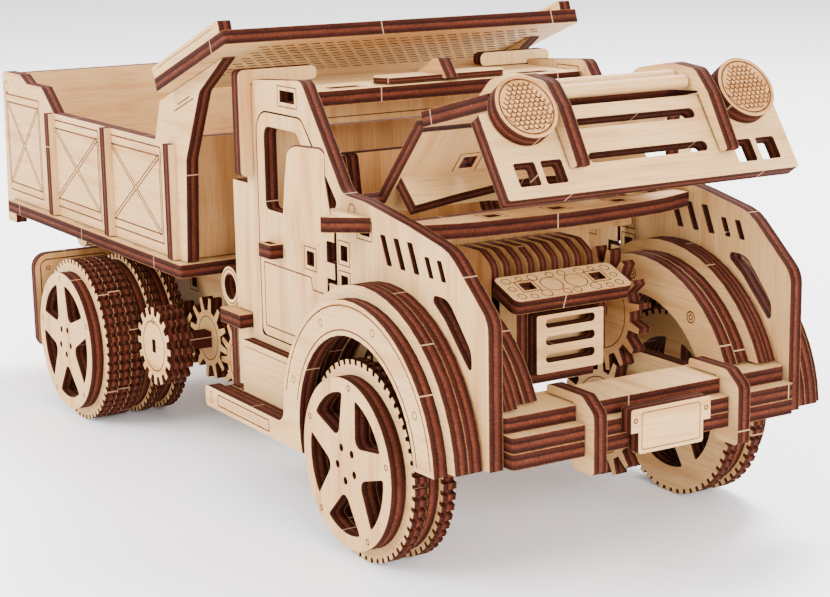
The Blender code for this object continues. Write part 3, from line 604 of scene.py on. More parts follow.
@dataclass(frozen=True)
class BurntEdge:
    """Laser-charred three-ply edge: red-brown char, a lighter core band, pale hairlines where the veneers
    start, fine burn striations across and a pale bridge mark every few centimetres."""

    name: str = "laser-charred ply edge"
    char: str = "#1f0c07"
    brown: str = "#3a1910"
    core: str = "#52291b"
    hair: str = "#7f5936"
    tick: str = "#96785a"
    streaks: tuple[Colour, Colour] = ((0.52, 0.48, 0.46, 1.0), (1.3, 1.22, 1.16, 1.0))  # multiply the bands
    soot: tuple[Colour, Colour] = ((0.72, 0.68, 0.66, 1.0), (1.15, 1.1, 1.05, 1.0))
    wander: float = 0.10  # how far the bands stray, as a share of the thickness
    spacing: float = 47.0
    tick_wide: float = 0.28
    roughness: float = 0.85
    specular: float = 0.08

    def make(self) -> Material:
        """Build the material: bands across the thickness, striations 0.3 mm apart, ticks 0.28 mm wide."""
        material, tree, shader = surface(self.name)
        uv = add_node(tree, "ShaderNodeUVMap", uv_map="cut").outputs["UV"]
        parts = add_node(tree, "ShaderNodeSeparateXYZ", {"Vector": uv})
        run, rise = parts.outputs["X"], parts.outputs["Y"]
        ragged = maths(tree, "SUBTRACT", pattern(tree, 1.4, 900.0, 4.0, 0.7), 0.5)
        bands = ramp(tree, maths(tree, "MULTIPLY_ADD", ragged, self.wander, rise), [
            (0.0, self.hair), (0.05, self.brown), (0.12, self.char), (0.30, self.brown), (0.42, self.core),
            (0.56, self.core), (0.64, self.char), (0.86, self.brown), (0.95, self.brown), (1.0, self.hair)])
        streak = pattern(tree, 0.3, 350.0, 4.0, 0.75)
        soot = pattern(tree, 7.0, 400.0, 3.0)
        colour = bands
        for noise, low, high, (dark, light) in ((streak, 0.35, 0.65, self.streaks),
                                                (soot, 0.3, 0.7, self.soot)):
            tone = mix(tree, mask(tree, noise, low, high), dark, light)
            colour = mix(tree, 1.0, colour, tone, "MULTIPLY")
        place = maths(tree, "FRACT", maths(tree, "DIVIDE", run, self.spacing * MM))
        bridge = maths(tree, "LESS_THAN", place, self.tick_wide / self.spacing)
        colour = mix(tree, bridge, colour, linear(self.tick))
        tree.links.new(colour, shader.inputs["Base Color"])
        shader.inputs["Roughness"].default_value = self.roughness
        shader.inputs["Specular IOR Level"].default_value = self.specular
        relief(tree, shader, streak, 0.5, 0.08)
        return material


@dataclass(frozen=True)
class Engraving:
    """Shallow laser-scorched line: toffee brown, matt, uneven where the beam dwelt."""

    name: str = "laser-engraved line"
    light: str = "#643c1c"
    dark: str = "#331909"
    mottle: float = 1.5
    roughness: float = 0.8
    specular: float = 0.1

    def make(self) -> Material:
        """Build the material: object-space mottling about 1.5 mm across."""
        material, tree, shader = surface(self.name)
        place = add_node(tree, "ShaderNodeTexCoord").outputs["Object"]
        noise = add_node(tree, "ShaderNodeTexNoise",
                         {"Vector": place, "Scale": 1.0 / (self.mottle * MM), "Detail": 2.0})
        colour = ramp(tree, noise.outputs["Fac"], [(0.3, self.dark), (0.7, self.light)])
        tree.links.new(colour, shader.inputs["Base Color"])
        shader.inputs["Roughness"].default_value = self.roughness
        shader.inputs["Specular IOR Level"].default_value = self.specular
        return material


class Kit:
    """Makes pieces from sheets and ties each to its CAD node and body."""

    def __init__(self, frame: dict[str, Any]) -> None:
        """Read the rear axle's place and prepare the finishes."""
        joints = {joint["name"]: joint for joint in frame["joints"]}
        self.joints = joints
        self.axle_x = joints["rear_axle_spin"]["pos_m"][0] / MM
        self.body_of = {node: body for body, nodes in frame["record"]["behaviour"]["bodies"].items()
                        for node in nodes}
        self.cutter = Cutter(self.axle_x)
        self.pale = BirchFace().make()
        # Darker, warmer copy of the veneer: painted shade for pieces and faces that stand in shade, and the
        # headlamps' warmer tone.
        self.warm = BirchFace("birch veneer darkened as painted shade, warm side", pale="#b38654", deep="#986a39",
                              band="#926230", pore="#67401e").make()
        self.edge = BurntEdge().make()
        self.line = Engraving().make()

    def axis(self, joint: str) -> tuple[float, float]:
        """A joint's X and Z in millimetres from the rear axle and the ground."""
        place = self.joints[joint]["pos_m"]
        return place[0] / MM - self.axle_x, place[2] / MM

    def box(self, node: str) -> tuple[np.ndarray, np.ndarray]:
        """A node's box in the outlines' millimetres."""
        low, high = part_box(node)
        shift = np.array([self.axle_x, 0.0, 0.0])
        return np.array(low) / MM - shift, np.array(high) / MM - shift

    def middle(self, node: str) -> np.ndarray:
        """Middle of a node's box in the outlines' millimetres."""
        low, high = self.box(node)
        return (low + high) / 2.0

    def piece(self, node: str, sheets: Sequence[Sheet], warm: bool = False) -> bpy.types.Object:
        """Cut sheets into one piece that stands for a CAD node.

        Args:
            node: CAD node that the piece replaces and whose body it rides on.
            sheets: the sheets it is made of.
            warm: whether its faces show the darker, warmer veneer that paints shade on them.

        Returns:
            The piece.
        """
        shell = Shell()
        for sheet in sheets:
            self.cutter.cut(shell, sheet)
        return self.dress(node, shell, warm)

    def across(self, node: str, outline: Sequence[Point], warm: bool = False, **more: Any) -> None:
        """Piece of one sheet standing across the truck, at its node's mid-thickness."""
        self.piece(node, [crosswise(outline, self.middle(node)[0], **more)], warm)

    def flat(self, node: str, outline: Sequence[Point], warm: bool = False, **more: Any) -> None:
        """Piece of one sheet lying flat, at its node's mid-thickness."""
        self.piece(node, [level(outline, self.middle(node)[2], **more)], warm)

    def dress(self, node: str, shell: Shell, warm: bool = False) -> bpy.types.Object:
        """Make a shell's mesh a piece that replaces a node."""
        # the darker, warmer veneer paints shade on whole pieces and on single faces
        materials = [self.warm if warm else self.pale, self.edge, self.line, self.warm]
        piece = bpy.data.objects.new(node + "_ply", shell.mesh(node + "_ply", materials))
        bpy.context.scene.collection.objects.link(piece)
        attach(piece, self.body_of[node])
        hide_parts(node)
        log.info("%s: %d faces", piece.name, len(piece.data.polygons))
        return piece


def frame_round(hole: Sequence[Point], margin: float = 0.9) -> Stroke:
    """Engraved rectangle round a hole, a margin outside it, on both faces."""
    points = np.array(hole)
    (u0, v0), (u1, v1) = points.min(0) - margin, points.max(0) + margin
    return Stroke(rectangle(u0, v0, u1, v1), face=Face.BOTH, width=FRAME_LINE)


def rings(centre: Point, *radii: float) -> list[Stroke]:
    """Engraved circles about one point, on both faces."""
    return [Stroke(circle(centre, r, 24), face=Face.BOTH, width=RING_LINE) for r in radii]


SIDES = ((-1, "right"), (1, "left"))


@dataclass
class Chassis:
    """Rails with bosses, bulkhead, cross member and mud flaps."""

    axle_z: float = 21.0
    bore: float = 3.2
    boss: float = 7.0

    def rail(self, kit: Kit) -> list[Point]:
        """Rail outline: rounded tail round the bed hinge, axle bosses, gear hanger."""
        pivot = kit.axis("bed_tip")
        tail = arc(pivot, 6.6, 90.0, 270.0)
        rear = arc(kit.axis("rear_axle_spin"), self.boss, 200.0, 330.0)
        front = arc(kit.axis("front_axle_spin"), self.boss, 200.0, 340.0)
        return rounded([*tail, (-14.0, 28.0, 3.0), *rear, (12.0, 14.6, 2.0), (55.0, 14.6, 4.0),
                        (61.0, 26.0, 4.0), (124.0, 26.0), *front, (146.5, 27.0), (160.6, 27.0),
                        (160.6, 36.6), (62.5, 36.6), (55.0, 44.6)])

    def build(self, kit: Kit) -> None:
        """Cut every chassis sheet."""
        axes = [kit.axis(name + "_spin") for name in ("rear_axle", "front_axle", "winding", "motor")]
        bores = [circle(axis, self.bore, 32) for axis in axes]
        pivot = kit.axis("bed_tip")
        marks = [mark for axis in axes[:2] for mark in rings(axis, 5.2)] + rings(pivot, 4.0)
        slots = [rectangle(x, 33.0, x + SHEET, 40.0) for x in (-24.0, 8.0, 40.0)]
        for side, tag in SIDES:
            y = side * 21.1
            pin = upright(circle(pivot, 1.5, 20), side * 24.6, thick=5.4)
            kit.piece("chassis_rail_" + tag,
                      [upright(self.rail(kit), y, holes=bores + slots,
                               strokes=marks + [frame_round(s) for s in slots]), pin])
            self.flap(kit, side, tag)
        low, high = kit.box("rear_cross_member")
        kit.across("rear_cross_member", rectangle(low[1], low[2], high[1], high[2], 2.0),
                   strokes=rings((0.0, 35.5), 3.0))
        notch = [(-38.6, 19.8), (38.6, 19.8), (38.6, 36.6), (23.0, 36.6), (23.0, 25.7), (19.2, 25.7),
                 (19.2, 36.6), (-19.2, 36.6), (-19.2, 25.7), (-23.0, 25.7), (-23.0, 36.6),
                 (-38.6, 36.6)]
        x = kit.middle("cab_bulkhead")[0]
        spot = (61.6, 43.8)
        eyes = [upright(circle(spot, 4.7, 40), side * 35.6, strokes=rings(spot, 4.1),
                        holes=[circle(spot, 3.2, 28)]) for side, _ in SIDES]
        kit.piece("cab_bulkhead", [crosswise(notch, x)] + eyes)

    def flap(self, kit: Kit, side: int, tag: str) -> None:
        """Mud flap hooked over the rail, its edge lined by an engraving and two rivet marks."""
        outline = rounded([(-53.5, 13.5, 3.0), (-31.0, 13.5, 3.0), (-31.0, 29.0, 2.0), (-23.1, 29.0),
                           (-23.1, 39.5), (-53.5, 39.5, 4.0)])
        inset = rectangle(-52.0, 15.0, -32.5, 37.9, 2.0)
        strokes = [Stroke(inset, face=Face.BOTH)] + rings((-49.8, 35.6), 0.5) + rings((-34.6, 35.6), 0.5)
        if side > 0:
            outline = mirrored(outline)
            strokes = [Stroke(mirrored(s.path), face=Face.BOTH, width=s.width) for s in strokes]
        # darker veneer: painted shade on the mud flaps
        kit.across("mudflap_" + tag, outline, warm=True, strokes=strokes, grain=Grain.UP)


@dataclass
class Cab:
    """Sides with slots and engraved frames, floor, back, roof with its hoops and deflector, firewall,
    cowl and bench."""

    cut_r: float = 25.0
    door_r: float = 35.1
    vents: Sequence[tuple[float, float, float, float, float]] = (
        (134.6, 67.3, 2.1, 6.0, 2.7), (139.8, 67.3, 2.1, 6.0, 2.7), (145.0, 67.3, 2.1, 6.0, 2.7),
        (151.4, 65.4, 1.8, 4.0, 1.8), (155.9, 65.4, 1.8, 4.0, 1.8))

    def side_outline(self) -> list[Point]:
        """Windscreen pillar, sloping bonnet line, rounded nose and wheel arch."""
        end = angle_at(ARCH_CUT, self.cut_r, 27.4)
        start = 180.0 - angle_at(ARCH_CUT, self.cut_r, 19.5)
        crown = rounded([(173.6, 27.4), (173.6, 56.5, 5.0), (160.5, 67.6, 10.0), (146.0, 70.4, 12.0),
                         (128.5, 73.0, 12.0), (119.6, 73.4, 4.0), (102.6, 95.4, 3.0), (79.8, 93.9),
                         (79.8, 92.7), (76.0, 92.7), (76.0, 70.3), (68.4, 70.3), (68.4, 40.5),
                         (76.3, 40.5), (76.3, 36.7), (68.4, 36.7), (68.4, 19.5)])
        return crown + arc(ARCH_CUT, self.cut_r, start, end)

    def side_holes(self) -> tuple[list[list[Point]], list[list[Point]]]:
        """Openings, and the tab holes that carry an engraved frame."""
        rim = arc(ARCH, self.door_r, 180.0 - angle_at(ARCH, self.door_r, 48.6),
                  180.0 - angle_at(ARCH, self.door_r, 42.0))
        door = rounded([(80.8, 36.2, 1.0), (80.8, 87.6, 5.2), (102.2, 87.6, 3.2), (117.4, 71.2, 1.0),
                        (116.7, 70.4), (116.7, 53.6), (113.2, 53.6), *rim, (100.9, 36.2)])
        vents = [rounded([(x, top, 0.3), (x + lean, top - height, 0.3),
                          (x + lean + wide, top - height, 0.3), (x + wide, top, 0.3)])
                 for x, top, wide, height, lean in self.vents]
        long_vent = rounded([(152.4, 58.3, 1.0), (160.0, 58.4, 5.0), (168.0, 49.6, 4.0), (168.0, 44.9, 0.8),
                             (163.5, 49.2, 6.0), (158.5, 54.2, 4.0)])
        tabs = [rectangle(92.8, 90.1, 99.6, 92.7), rectangle(118.2, 59.3, 121.2, 62.6),
                rectangle(118.2, 53.0, 121.2, 56.2), rectangle(126.4, 66.0, 130.6, 68.2)]
        return [door, *vents, long_vent], tabs

    def sides(self, kit: Kit) -> None:
        """Both cab sides."""
        holes, tabs = self.side_holes()
        pin = kit.axis("hood_lift")
        strokes = [frame_round(tab) for tab in tabs] + rings(pin, 1.3)
        for side, tag in SIDES:
            kit.piece("cab_side_" + tag, [upright(self.side_outline(), side * CAB_SIDE_Y,
                                                  holes=holes + tabs, strokes=strokes, grain=Grain.UP)])
            hoop = rounded([(-42.0, 72.4, 1.2), (-38.9, 72.4, 1.2), (-38.9, 93.0), (-22.2, 93.0, 1.2),
                            (-22.2, 96.1, 1.4), (-42.0, 96.1, 1.4)])
            kit.across("roof_hoop_" + tag, hoop if side < 0 else mirrored(hoop), grain=Grain.UP)

    def shell(self, kit: Kit) -> None:
        """Floor, back, roof, deflector, firewall and cowl."""
        floor = rounded(even([(65.0, -42.0, 1.0), (76.0, -42.0), (76.0, -35.2), (104.2, -35.2),
                              (104.2, -23.2), (117.6, -23.2)]))
        kit.flat("cab_floor", floor, warm=True)
        window = rectangle(-22.0, 60.0, 22.0, 82.0, 3.0)
        kit.piece("cab_back", [crosswise(rectangle(-35.2, 40.4, 35.2, 89.2), 74.2, holes=[window],
                                         strokes=[frame_round(window, 1.4)], grain=Grain.UP)])
        low, high = kit.box("roof")
        slots = [rectangle(95.0, s - 4.0, 98.2, s + 4.0) for s in (-25.0, 25.0)]
        kit.flat("roof", rectangle(low[0], low[1], high[0], high[1], 1.0), holes=slots,
                 strokes=[frame_round(s) for s in slots], grain=Grain.UP)
        blade = rounded([(100.0, -14.8, 0.4), (100.0, 14.8, 0.4), (96.3, 17.2, 0.6), (92.0, 14.4),
                         (92.0, -14.4), (96.3, -17.2, 0.6)])
        fin = rounded([(88.4, 93.4), (101.6, 93.4), (98.2, 97.6, 0.6), (96.6, 97.6, 0.6)])
        kit.piece("roof_deflector", [level(blade, 93.6, thick=1.2, grain=Grain.UP), upright(fin, 0.0)],
                  warm=True)
        wall = [(-23.2, 38.2), (23.2, 38.2), (23.2, 59.4), (35.2, 59.4), (35.2, 66.0), (-35.2, 66.0),
                (-35.2, 59.4), (-23.2, 59.4)]
        kit.across("firewall", wall, warm=True, grain=Grain.UP)
        cowl = rounded(even([(137.2, -35.2), (141.2, -35.2), (145.2, -24.0, 30.0)], (147.0, 0.0, 60.0)))
        tabs = [rectangle(139.6, s - 1.7, 142.6, s + 1.7) for s in (-16.0, 0.0, 16.0)]
        kit.flat("cowl", cowl, holes=tabs, strokes=[frame_round(t) for t in tabs], grain=Grain.UP)

    def bench(self, kit: Kit) -> None:
        """Seat: back, cushion sheet and two cheeks of stacked sheets."""
        back = crosswise(rectangle(-22.0, 40.4, 22.0, 76.0, 3.0), 83.0, grain=Grain.UP)
        cushion = level(rectangle(83.0, -22.0, 100.0, 22.0, 2.0), 54.0)
        cheek = rounded([(83.0, 40.4), (98.0, 40.4), (98.0, 57.5, 2.0), (88.5, 60.0, 4.0),
                         (86.0, 76.0, 1.2), (83.0, 76.0)])
        cheeks = [upright(cheek, side * y) for side, _ in SIDES for y in (17.2, 20.4)]
        kit.piece("seat", [back, cushion] + cheeks, warm=True)

    def build(self, kit: Kit) -> None:
        """Cut the whole cab."""
        self.sides(kit)
        self.shell(kit)
        self.bench(kit)


@dataclass
class Engine:
    """Comb of fins, engraved valve cover and slotted radiator."""

    slope: float = -20.9
    half: float = 14.9

    def cover(self, kit: Kit) -> None:
        """Valve cover with its engraved bubbles: two large rings and a row of small ones."""
        half = self.half
        lean = math.radians(self.slope)
        holes = [rectangle(3.0, s * 8.9 - 1.6, 5.9, s * 8.9 + 1.6) for s in (-1, 1)]
        bubbles = [((4.9, s * 3.1), 2.5) for s in (-1, 1)]
        bubbles += [((u, s * v), r) for s in (-1, 1)
                    for u, v, r in ((1.5, 1.5, 0.9), (1.7, 6.0, 1.1), (1.4, 9.2, 0.7), (1.8, 12.6, 1.0),
                                    (8.2, 1.3, 0.9), (7.9, 6.2, 1.2), (8.3, 9.6, 0.8), (7.8, 12.4, 0.9),
                                    (4.8, 12.9, 0.8))]
        strokes = [frame_round(h, 0.6) for h in holes]
        strokes += [Stroke(circle(c, r, 24), width=0.22) for c, r in bubbles]
        origin = (139.3 + math.sin(lean) * SHEET / 2.0, 0.0, 56.0 - math.cos(lean) * SHEET / 2.0)
        plate = Sheet(rectangle(0.0, -half, 9.6, half, 1.6), pitched(self.slope), origin, holes=holes,
                      strokes=strokes, grain=Grain.UP)
        kit.piece("valve_cover", [plate])

    def build(self, kit: Kit) -> None:
        """Cut the engine."""
        fin = rounded([(123.0, 38.6), (136.4, 38.6), (136.4, 58.0, 3.0), (132.0, 60.5, 3.0),
                       (123.0, 60.5, 1.0)])
        fins = [upright(fin, y, thick=1.9, grain=Grain.UP) for y in np.linspace(-12.2, 12.2, 9)]
        core = [crosswise(rectangle(-13.0, 38.4, 13.0, 52.0, 1.5), x) for x in (124.6, 128.0, 131.4, 134.8)]
        kit.piece("engine_block", core + fins, warm=True)
        self.cover(kit)
        slots = [rectangle(-6.3, z, 6.3, z + 1.9, 0.9) for z in (38.2, 41.9, 45.6)]
        core = crosswise(rectangle(-8.4, 36.2, 8.4, 50.4), 138.4)
        cheek = rounded([(136.9, 36.5), (141.4, 36.5, 0.4), (143.0, 38.4, 0.4), (143.0, 50.7, 1.0),
                         (136.9, 50.7)])
        cheeks = [upright(cheek, y, thick=2.9, grain=Grain.UP) for y in (-10.0, 10.0)]
        sill = level(rounded([(136.9, -9.0), (142.8, -8.6, 0.4), (142.8, 8.6, 0.4), (136.9, 9.0)]), 34.7)
        face = crosswise(rectangle(-8.5, 36.0, 8.5, 48.4, 0.4), 144.5, thick=3.4, holes=slots)
        kit.piece("radiator", [core, sill, face] + cheeks)


@dataclass
class Bumper:
    """Stepped beam of three sheets, half-lapped clamps and a plain number plate."""

    clamps: Sequence[tuple[str, float]] = (("right", -16.4), ("left", 19.4))

    def notched(self, x0: float, x1: float, half: float) -> list[Point]:
        """Beam outline with a notch in its front edge for each clamp."""
        w, cut = 1.9, 171.4
        front: list[Corner] = [(x1, -half, 0.8)]
        for _, y in self.clamps:
            front += [(x1, y - w), (cut, y - w), (cut, y + w), (x1, y + w)]
        front.append((x1, half, 0.8))
        return rounded([(x0, -half)] + front + [(x0, half)])

    def build(self, kit: Kit) -> None:
        """Cut the bumper."""
        upper = level(self.notched(161.0, 173.1, 34.8), 35.7)
        lower = [level(self.notched(163.0, 176.0, 35.0), z, thick=3.15) for z in (29.28, 32.5)]
        kit.piece("bumper", [upper] + lower)
        clamp = rounded([(171.7, 24.2, 0.4), (178.5, 24.2, 1.0), (178.5, 36.4, 2.0), (174.6, 39.4, 2.0),
                         (163.0, 39.4, 0.8), (163.0, 37.6), (171.7, 37.6)])
        for tag, y in self.clamps:
            kit.piece("bumper_clamp_" + tag, [upright(clamp, y)])
        plate = rounded([(-8.0, 27.2, 0.6), (8.0, 27.2, 0.6), (8.0, 31.6), (9.8, 31.6), (9.8, 36.3, 0.6),
                         (-9.8, 36.3, 0.6), (-9.8, 31.6), (-8.0, 31.6)])
        inner = rectangle(-7.2, 28.0, 7.2, 35.4, 0.6)
        pegs = rings((-8.7, 34.0), 0.4) + rings((8.7, 34.0), 0.4)
        kit.across("number_plate", plate, strokes=[Stroke(inner, width=FINE_LINE)] + pegs)


@dataclass
class Wings:
    """Outer fenders of three sheets, stepped inner arches, running boards and mirrors."""

    trim: float = 24.3
    lip: float = 29.3

    def ring(self, radius: float, inner: Point, inner_r: float, front_z: float,
             rear_z: float) -> list[Point]:
        """Arch between two circles, its feet cut level in front and behind."""
        outside = arc(ARCH, radius, angle_at(ARCH, radius, front_z), 180.0 - angle_at(ARCH, radius, rear_z))
        inside = arc(inner, inner_r, 180.0 - angle_at(inner, inner_r, rear_z),
                     angle_at(inner, inner_r, front_z))
        return outside + inside

    def skirt(self) -> list[Point]:
        """Outermost sheet: arch running back into the running board's face."""
        radius = 30.4
        outside = arc(ARCH, radius, angle_at(ARCH, radius, 26.8), 172.0)
        inside = arc(ARCH, ARCH_INNER, 180.0 - angle_at(ARCH, ARCH_INNER, 18.6),
                     angle_at(ARCH, ARCH_INNER, 26.6))
        return rounded([*outside, (108.6, 23.4, 3.0), (69.5, 23.4, 1.0), (69.5, 18.6, 1.0), *inside])

    def build(self, kit: Kit) -> None:
        """Cut both sides."""
        panel = rectangle(76.0, 19.8, 101.5, 22.3, 0.2)
        marks = [polar(ARCH, 26.9, angle) for angle in (28.0, 72.0, 118.0, 160.0)]
        dots = [polar(ARCH, 27.3, angle) for angle in (50.0, 95.0, 140.0)]
        for side, tag in SIDES:
            outer = outward(side)
            lines = [scored(*arc(ARCH, r, 6.0, 168.0), face=outer) for r in (self.trim, self.lip)]
            lines += [Stroke(panel, face=outer)]
            lines += [Stroke(path, face=outer, width=FINE_LINE) for path in (
                rectangle(72.0, 19.8, 73.0, 22.3), *(circle(mark, 0.75, 16) for mark in marks))]
            middle = [upright(self.ring(33.0, ARCH_CUT, 25.0, 27.4, 18.6), side * y, thick=3.1)
                      for y in (40.55, 43.65)]
            skirt = upright(self.skirt(), side * 46.65, strokes=lines, thick=3.3)
            kit.piece("fender_" + tag, middle + [skirt])
            near = [Stroke(circle(dot, r, 20), face=outward(-side), width=0.3) for dot in dots
                    for r in (1.2, 0.55)]
            kit.piece("arch_liner_" + tag, [
                upright(self.ring(r, ARCH, ARCH_INNER, 37.8, 25.0), side * y, thick=thick, strokes=strokes)
                for r, y, thick, strokes in ((31.5, 25.05, 3.1, near), (31.5, 28.3, 3.1, []),
                                             (34.0, 31.3, 2.5, []), (34.0, 33.6, 2.2, []))])
            board = rectangle(69.8, 18.9, 105.4, 22.4)
            box = rectangle(76.2, 22.2, 99.8, 34.6, 0.3)
            rim = [scored((77.4, 33.2), (98.6, 33.2), face=outer, width=FINE_LINE)]
            kit.piece("running_board_" + tag, [upright(board, side * y, thick=2.9) for y in (40.45, 43.45)]
                      + [upright(box, side * 40.3, thick=2.8, strokes=rim)])
            self.mirror(kit, side, tag)

    def mirror(self, kit: Kit, side: int, tag: str) -> None:
        """Tapered mirror plate on its arm."""
        plate = rounded([(-5.0, 66.0, 2.0), (4.6, 64.3, 2.0), (4.9, 70.0), (3.9, 78.0), (3.9, 83.8, 1.5),
                         (-3.4, 84.8, 2.0), (-4.2, 77.0)])
        arm = rounded([(117.0, -39.0), (131.4, -39.0), (125.0, -46.6, 1.0), (118.5, -46.6, 1.0)])
        if side > 0:
            plate, arm = mirrored(plate), flipped(arm)
        outward = Matrix.Rotation(side * math.radians(31.2), 4, "Z") @ ACROSS
        kit.piece("mirror_" + tag, [Sheet(plate, outward, (121.6, side * 48.2, 0.0), grain=Grain.UP),
                                    level(arm, 68.6)])


@dataclass
class Wheel:
    """Tyre of toothed and smooth sheets behind a five-spoke rim."""

    node: str
    side: int
    toothed: Sequence[tuple[float, float]]
    smooth: Sequence[tuple[float, float]]
    rim: tuple[float, float]
    centre: Point
    spoke: float = 84.0
    radius: float = 21.0
    rim_r: float = 17.9
    spoke_half: float = 2.55
    window_r: float = 14.9
    step: float = 360.0 / ROUND

    def window(self, middle: float) -> list[Point]:
        """Opening between two spokes: straight sides along the spokes, a round bottom, an arc outside.

        Args:
            middle: angle of the opening's middle, in degrees.

        Returns:
            The opening's outline.
        """
        half_step = self.step / 2.0
        spread = half_step - math.degrees(math.asin(self.spoke_half / self.window_r))
        tip = self.spoke_half / math.sin(math.radians(half_step))
        rim = arc((0.0, 0.0), self.window_r, middle - spread, middle + spread)
        root = (*polar((0.0, 0.0), tip + 1.3, middle), 2.0)
        corners = [(*rim[0], 0.5), *rim[1:-1], (*rim[-1], 0.5), root]
        return [(u + self.centre[0], v + self.centre[1]) for u, v in rounded(corners)]

    def build(self, kit: Kit) -> None:
        """Cut the wheel's sheets."""
        tip = self.radius / math.cos(2.0 * math.pi * 0.30 / TEETH_FINE)
        tread = tooth_ring(self.centre, TEETH_FINE, self.radius - 1.05, tip, 90.0, 0.32, 0.27)
        ring = circle(self.centre, self.radius - 1.4, 72)
        spokes = [self.spoke + self.step * k for k in range(ROUND)]
        between = [self.spoke + self.step / 2.0 + self.step * k for k in range(ROUND)]
        windows = [self.window(angle) for angle in between]
        studs = [circle(polar(self.centre, 3.6, angle), 0.85, 16) for angle in between]
        marks = [mark for angle in spokes for mark in rings(polar(self.centre, 16.4, angle), 0.55)]
        sheets = [upright(outline, self.side * (a + b) / 2.0, thick=b - a, holes=windows)
                  for outline, layers in ((tread, self.toothed), (ring, self.smooth)) for a, b in layers]
        low, high = self.rim
        sheets.append(upright(circle(self.centre, self.rim_r, 72), self.side * (low + high) / 2.0,
                              thick=high - low, holes=windows + studs, strokes=marks, grain=Grain.UP))
        kit.piece(self.node, sheets)


@dataclass
class RunningGear:
    """Axles, wheels, engine gear, and the winding train on the right side."""

    module: float = 1.5
    gear_y: float = -27.8
    cam_y: float = 17.5
    hub_r: float = 2.4
    shaft_half: float = 2.0

    def gear(self, centre: Point, teeth: int, first: float, y: float, **more: Any) -> Sheet:
        """Spur gear sheet with straight-flanked teeth."""
        root, tip = (self.module * (teeth / 2.0 + step) for step in (-1.25, 1.0))
        outline = tooth_ring(centre, teeth, root, tip, first, 0.25, 0.11)
        return upright(outline, y, strokes=rings(centre, self.module * teeth / 2.0 - 3.4), **more)

    def shaft(self, centre: Point, middle: float, long: float) -> Sheet:
        """Square shaft cut from the sheet."""
        half, (u, v) = self.shaft_half, centre
        return upright(rectangle(u - half, v - half, u + half, v + half), middle, thick=long)

    def wheels(self, kit: Kit) -> None:
        """All four wheels."""
        front, rear = kit.axis("front_axle_spin"), kit.axis("rear_axle_spin")
        for side, tag in SIDES:
            Wheel("front_wheel_" + tag, side, ((35.0, 38.2), (41.6, 44.7)), ((38.2, 41.6),), (44.7, 48.2),
                  front).build(kit)
            Wheel("rear_wheel_" + tag, side,
                  ((30.0, 31.6), (31.7, 33.2), (36.4, 38.0), (38.1, 39.6), (42.9, 46.0), (46.1, 49.2),
                   (49.3, 52.3)), ((33.2, 36.4), (39.6, 42.9)), (52.3, 55.6), rear,
                  spoke=96.0).build(kit)

    def build(self, kit: Kit) -> None:
        """Cut wheels, axles and gears."""
        self.wheels(kit)
        front, rear = kit.axis("front_axle_spin"), kit.axis("rear_axle_spin")
        engine, knob, motor = (kit.axis(n) for n in ("engine_gear_spin", "winding_spin", "motor_spin"))
        idler = kit.axis("idler_spin")
        ahead = math.degrees(math.atan2(knob[1] - rear[1], knob[0] - rear[0]))
        kit.piece("front_axle", [self.shaft(front, 0.0, 69.4), self.gear(front, 16, 90.0, self.cam_y)])
        hub = upright(circle(engine, self.hub_r, 24), self.cam_y - 2.4, thick=2.0)
        kit.piece("engine_gear", [self.gear(engine, 16, 270.0 + 180.0 / 16, self.cam_y), hub], warm=True)
        kit.piece("rear_axle", [self.shaft(rear, 0.0, 59.4), self.gear(rear, 12, ahead, self.gear_y)])
        hub = upright(circle(idler, self.hub_r, 24), self.gear_y + SHEET, thick=3.4)
        kit.piece("idler_gear", [self.gear(idler, 9, ahead + 180.0 + 20.0, self.gear_y), hub])
        kit.piece("winding_shaft", [self.shaft(knob, -6.0, 63.2),
                                    self.gear(knob, 12, ahead + 195.0, self.gear_y)])
        crown = tooth_ring(knob, 16, 7.85, 9.81, 0.0, 0.26, 0.20)
        eye = rectangle(knob[0] - 1.1, knob[1] - 1.7, knob[0] + 1.1, knob[1] + 1.7)
        face = [Stroke(circle(knob, 6.3, 40), face=Face.BOTH)] + rings((knob[0], knob[1] + 6.3), 0.7)
        kit.piece("winding_knob", [upright(crown, -42.7, holes=[eye], strokes=face), upright(crown, -39.5)])
        back = math.degrees(math.atan2(knob[1] - motor[1], knob[0] - motor[0]))
        kit.piece("motor_gear", [self.gear(motor, 12, back + 15.0, self.gear_y),
                                 self.shaft(motor, self.gear_y + 25.0, 50.0)], warm=True)


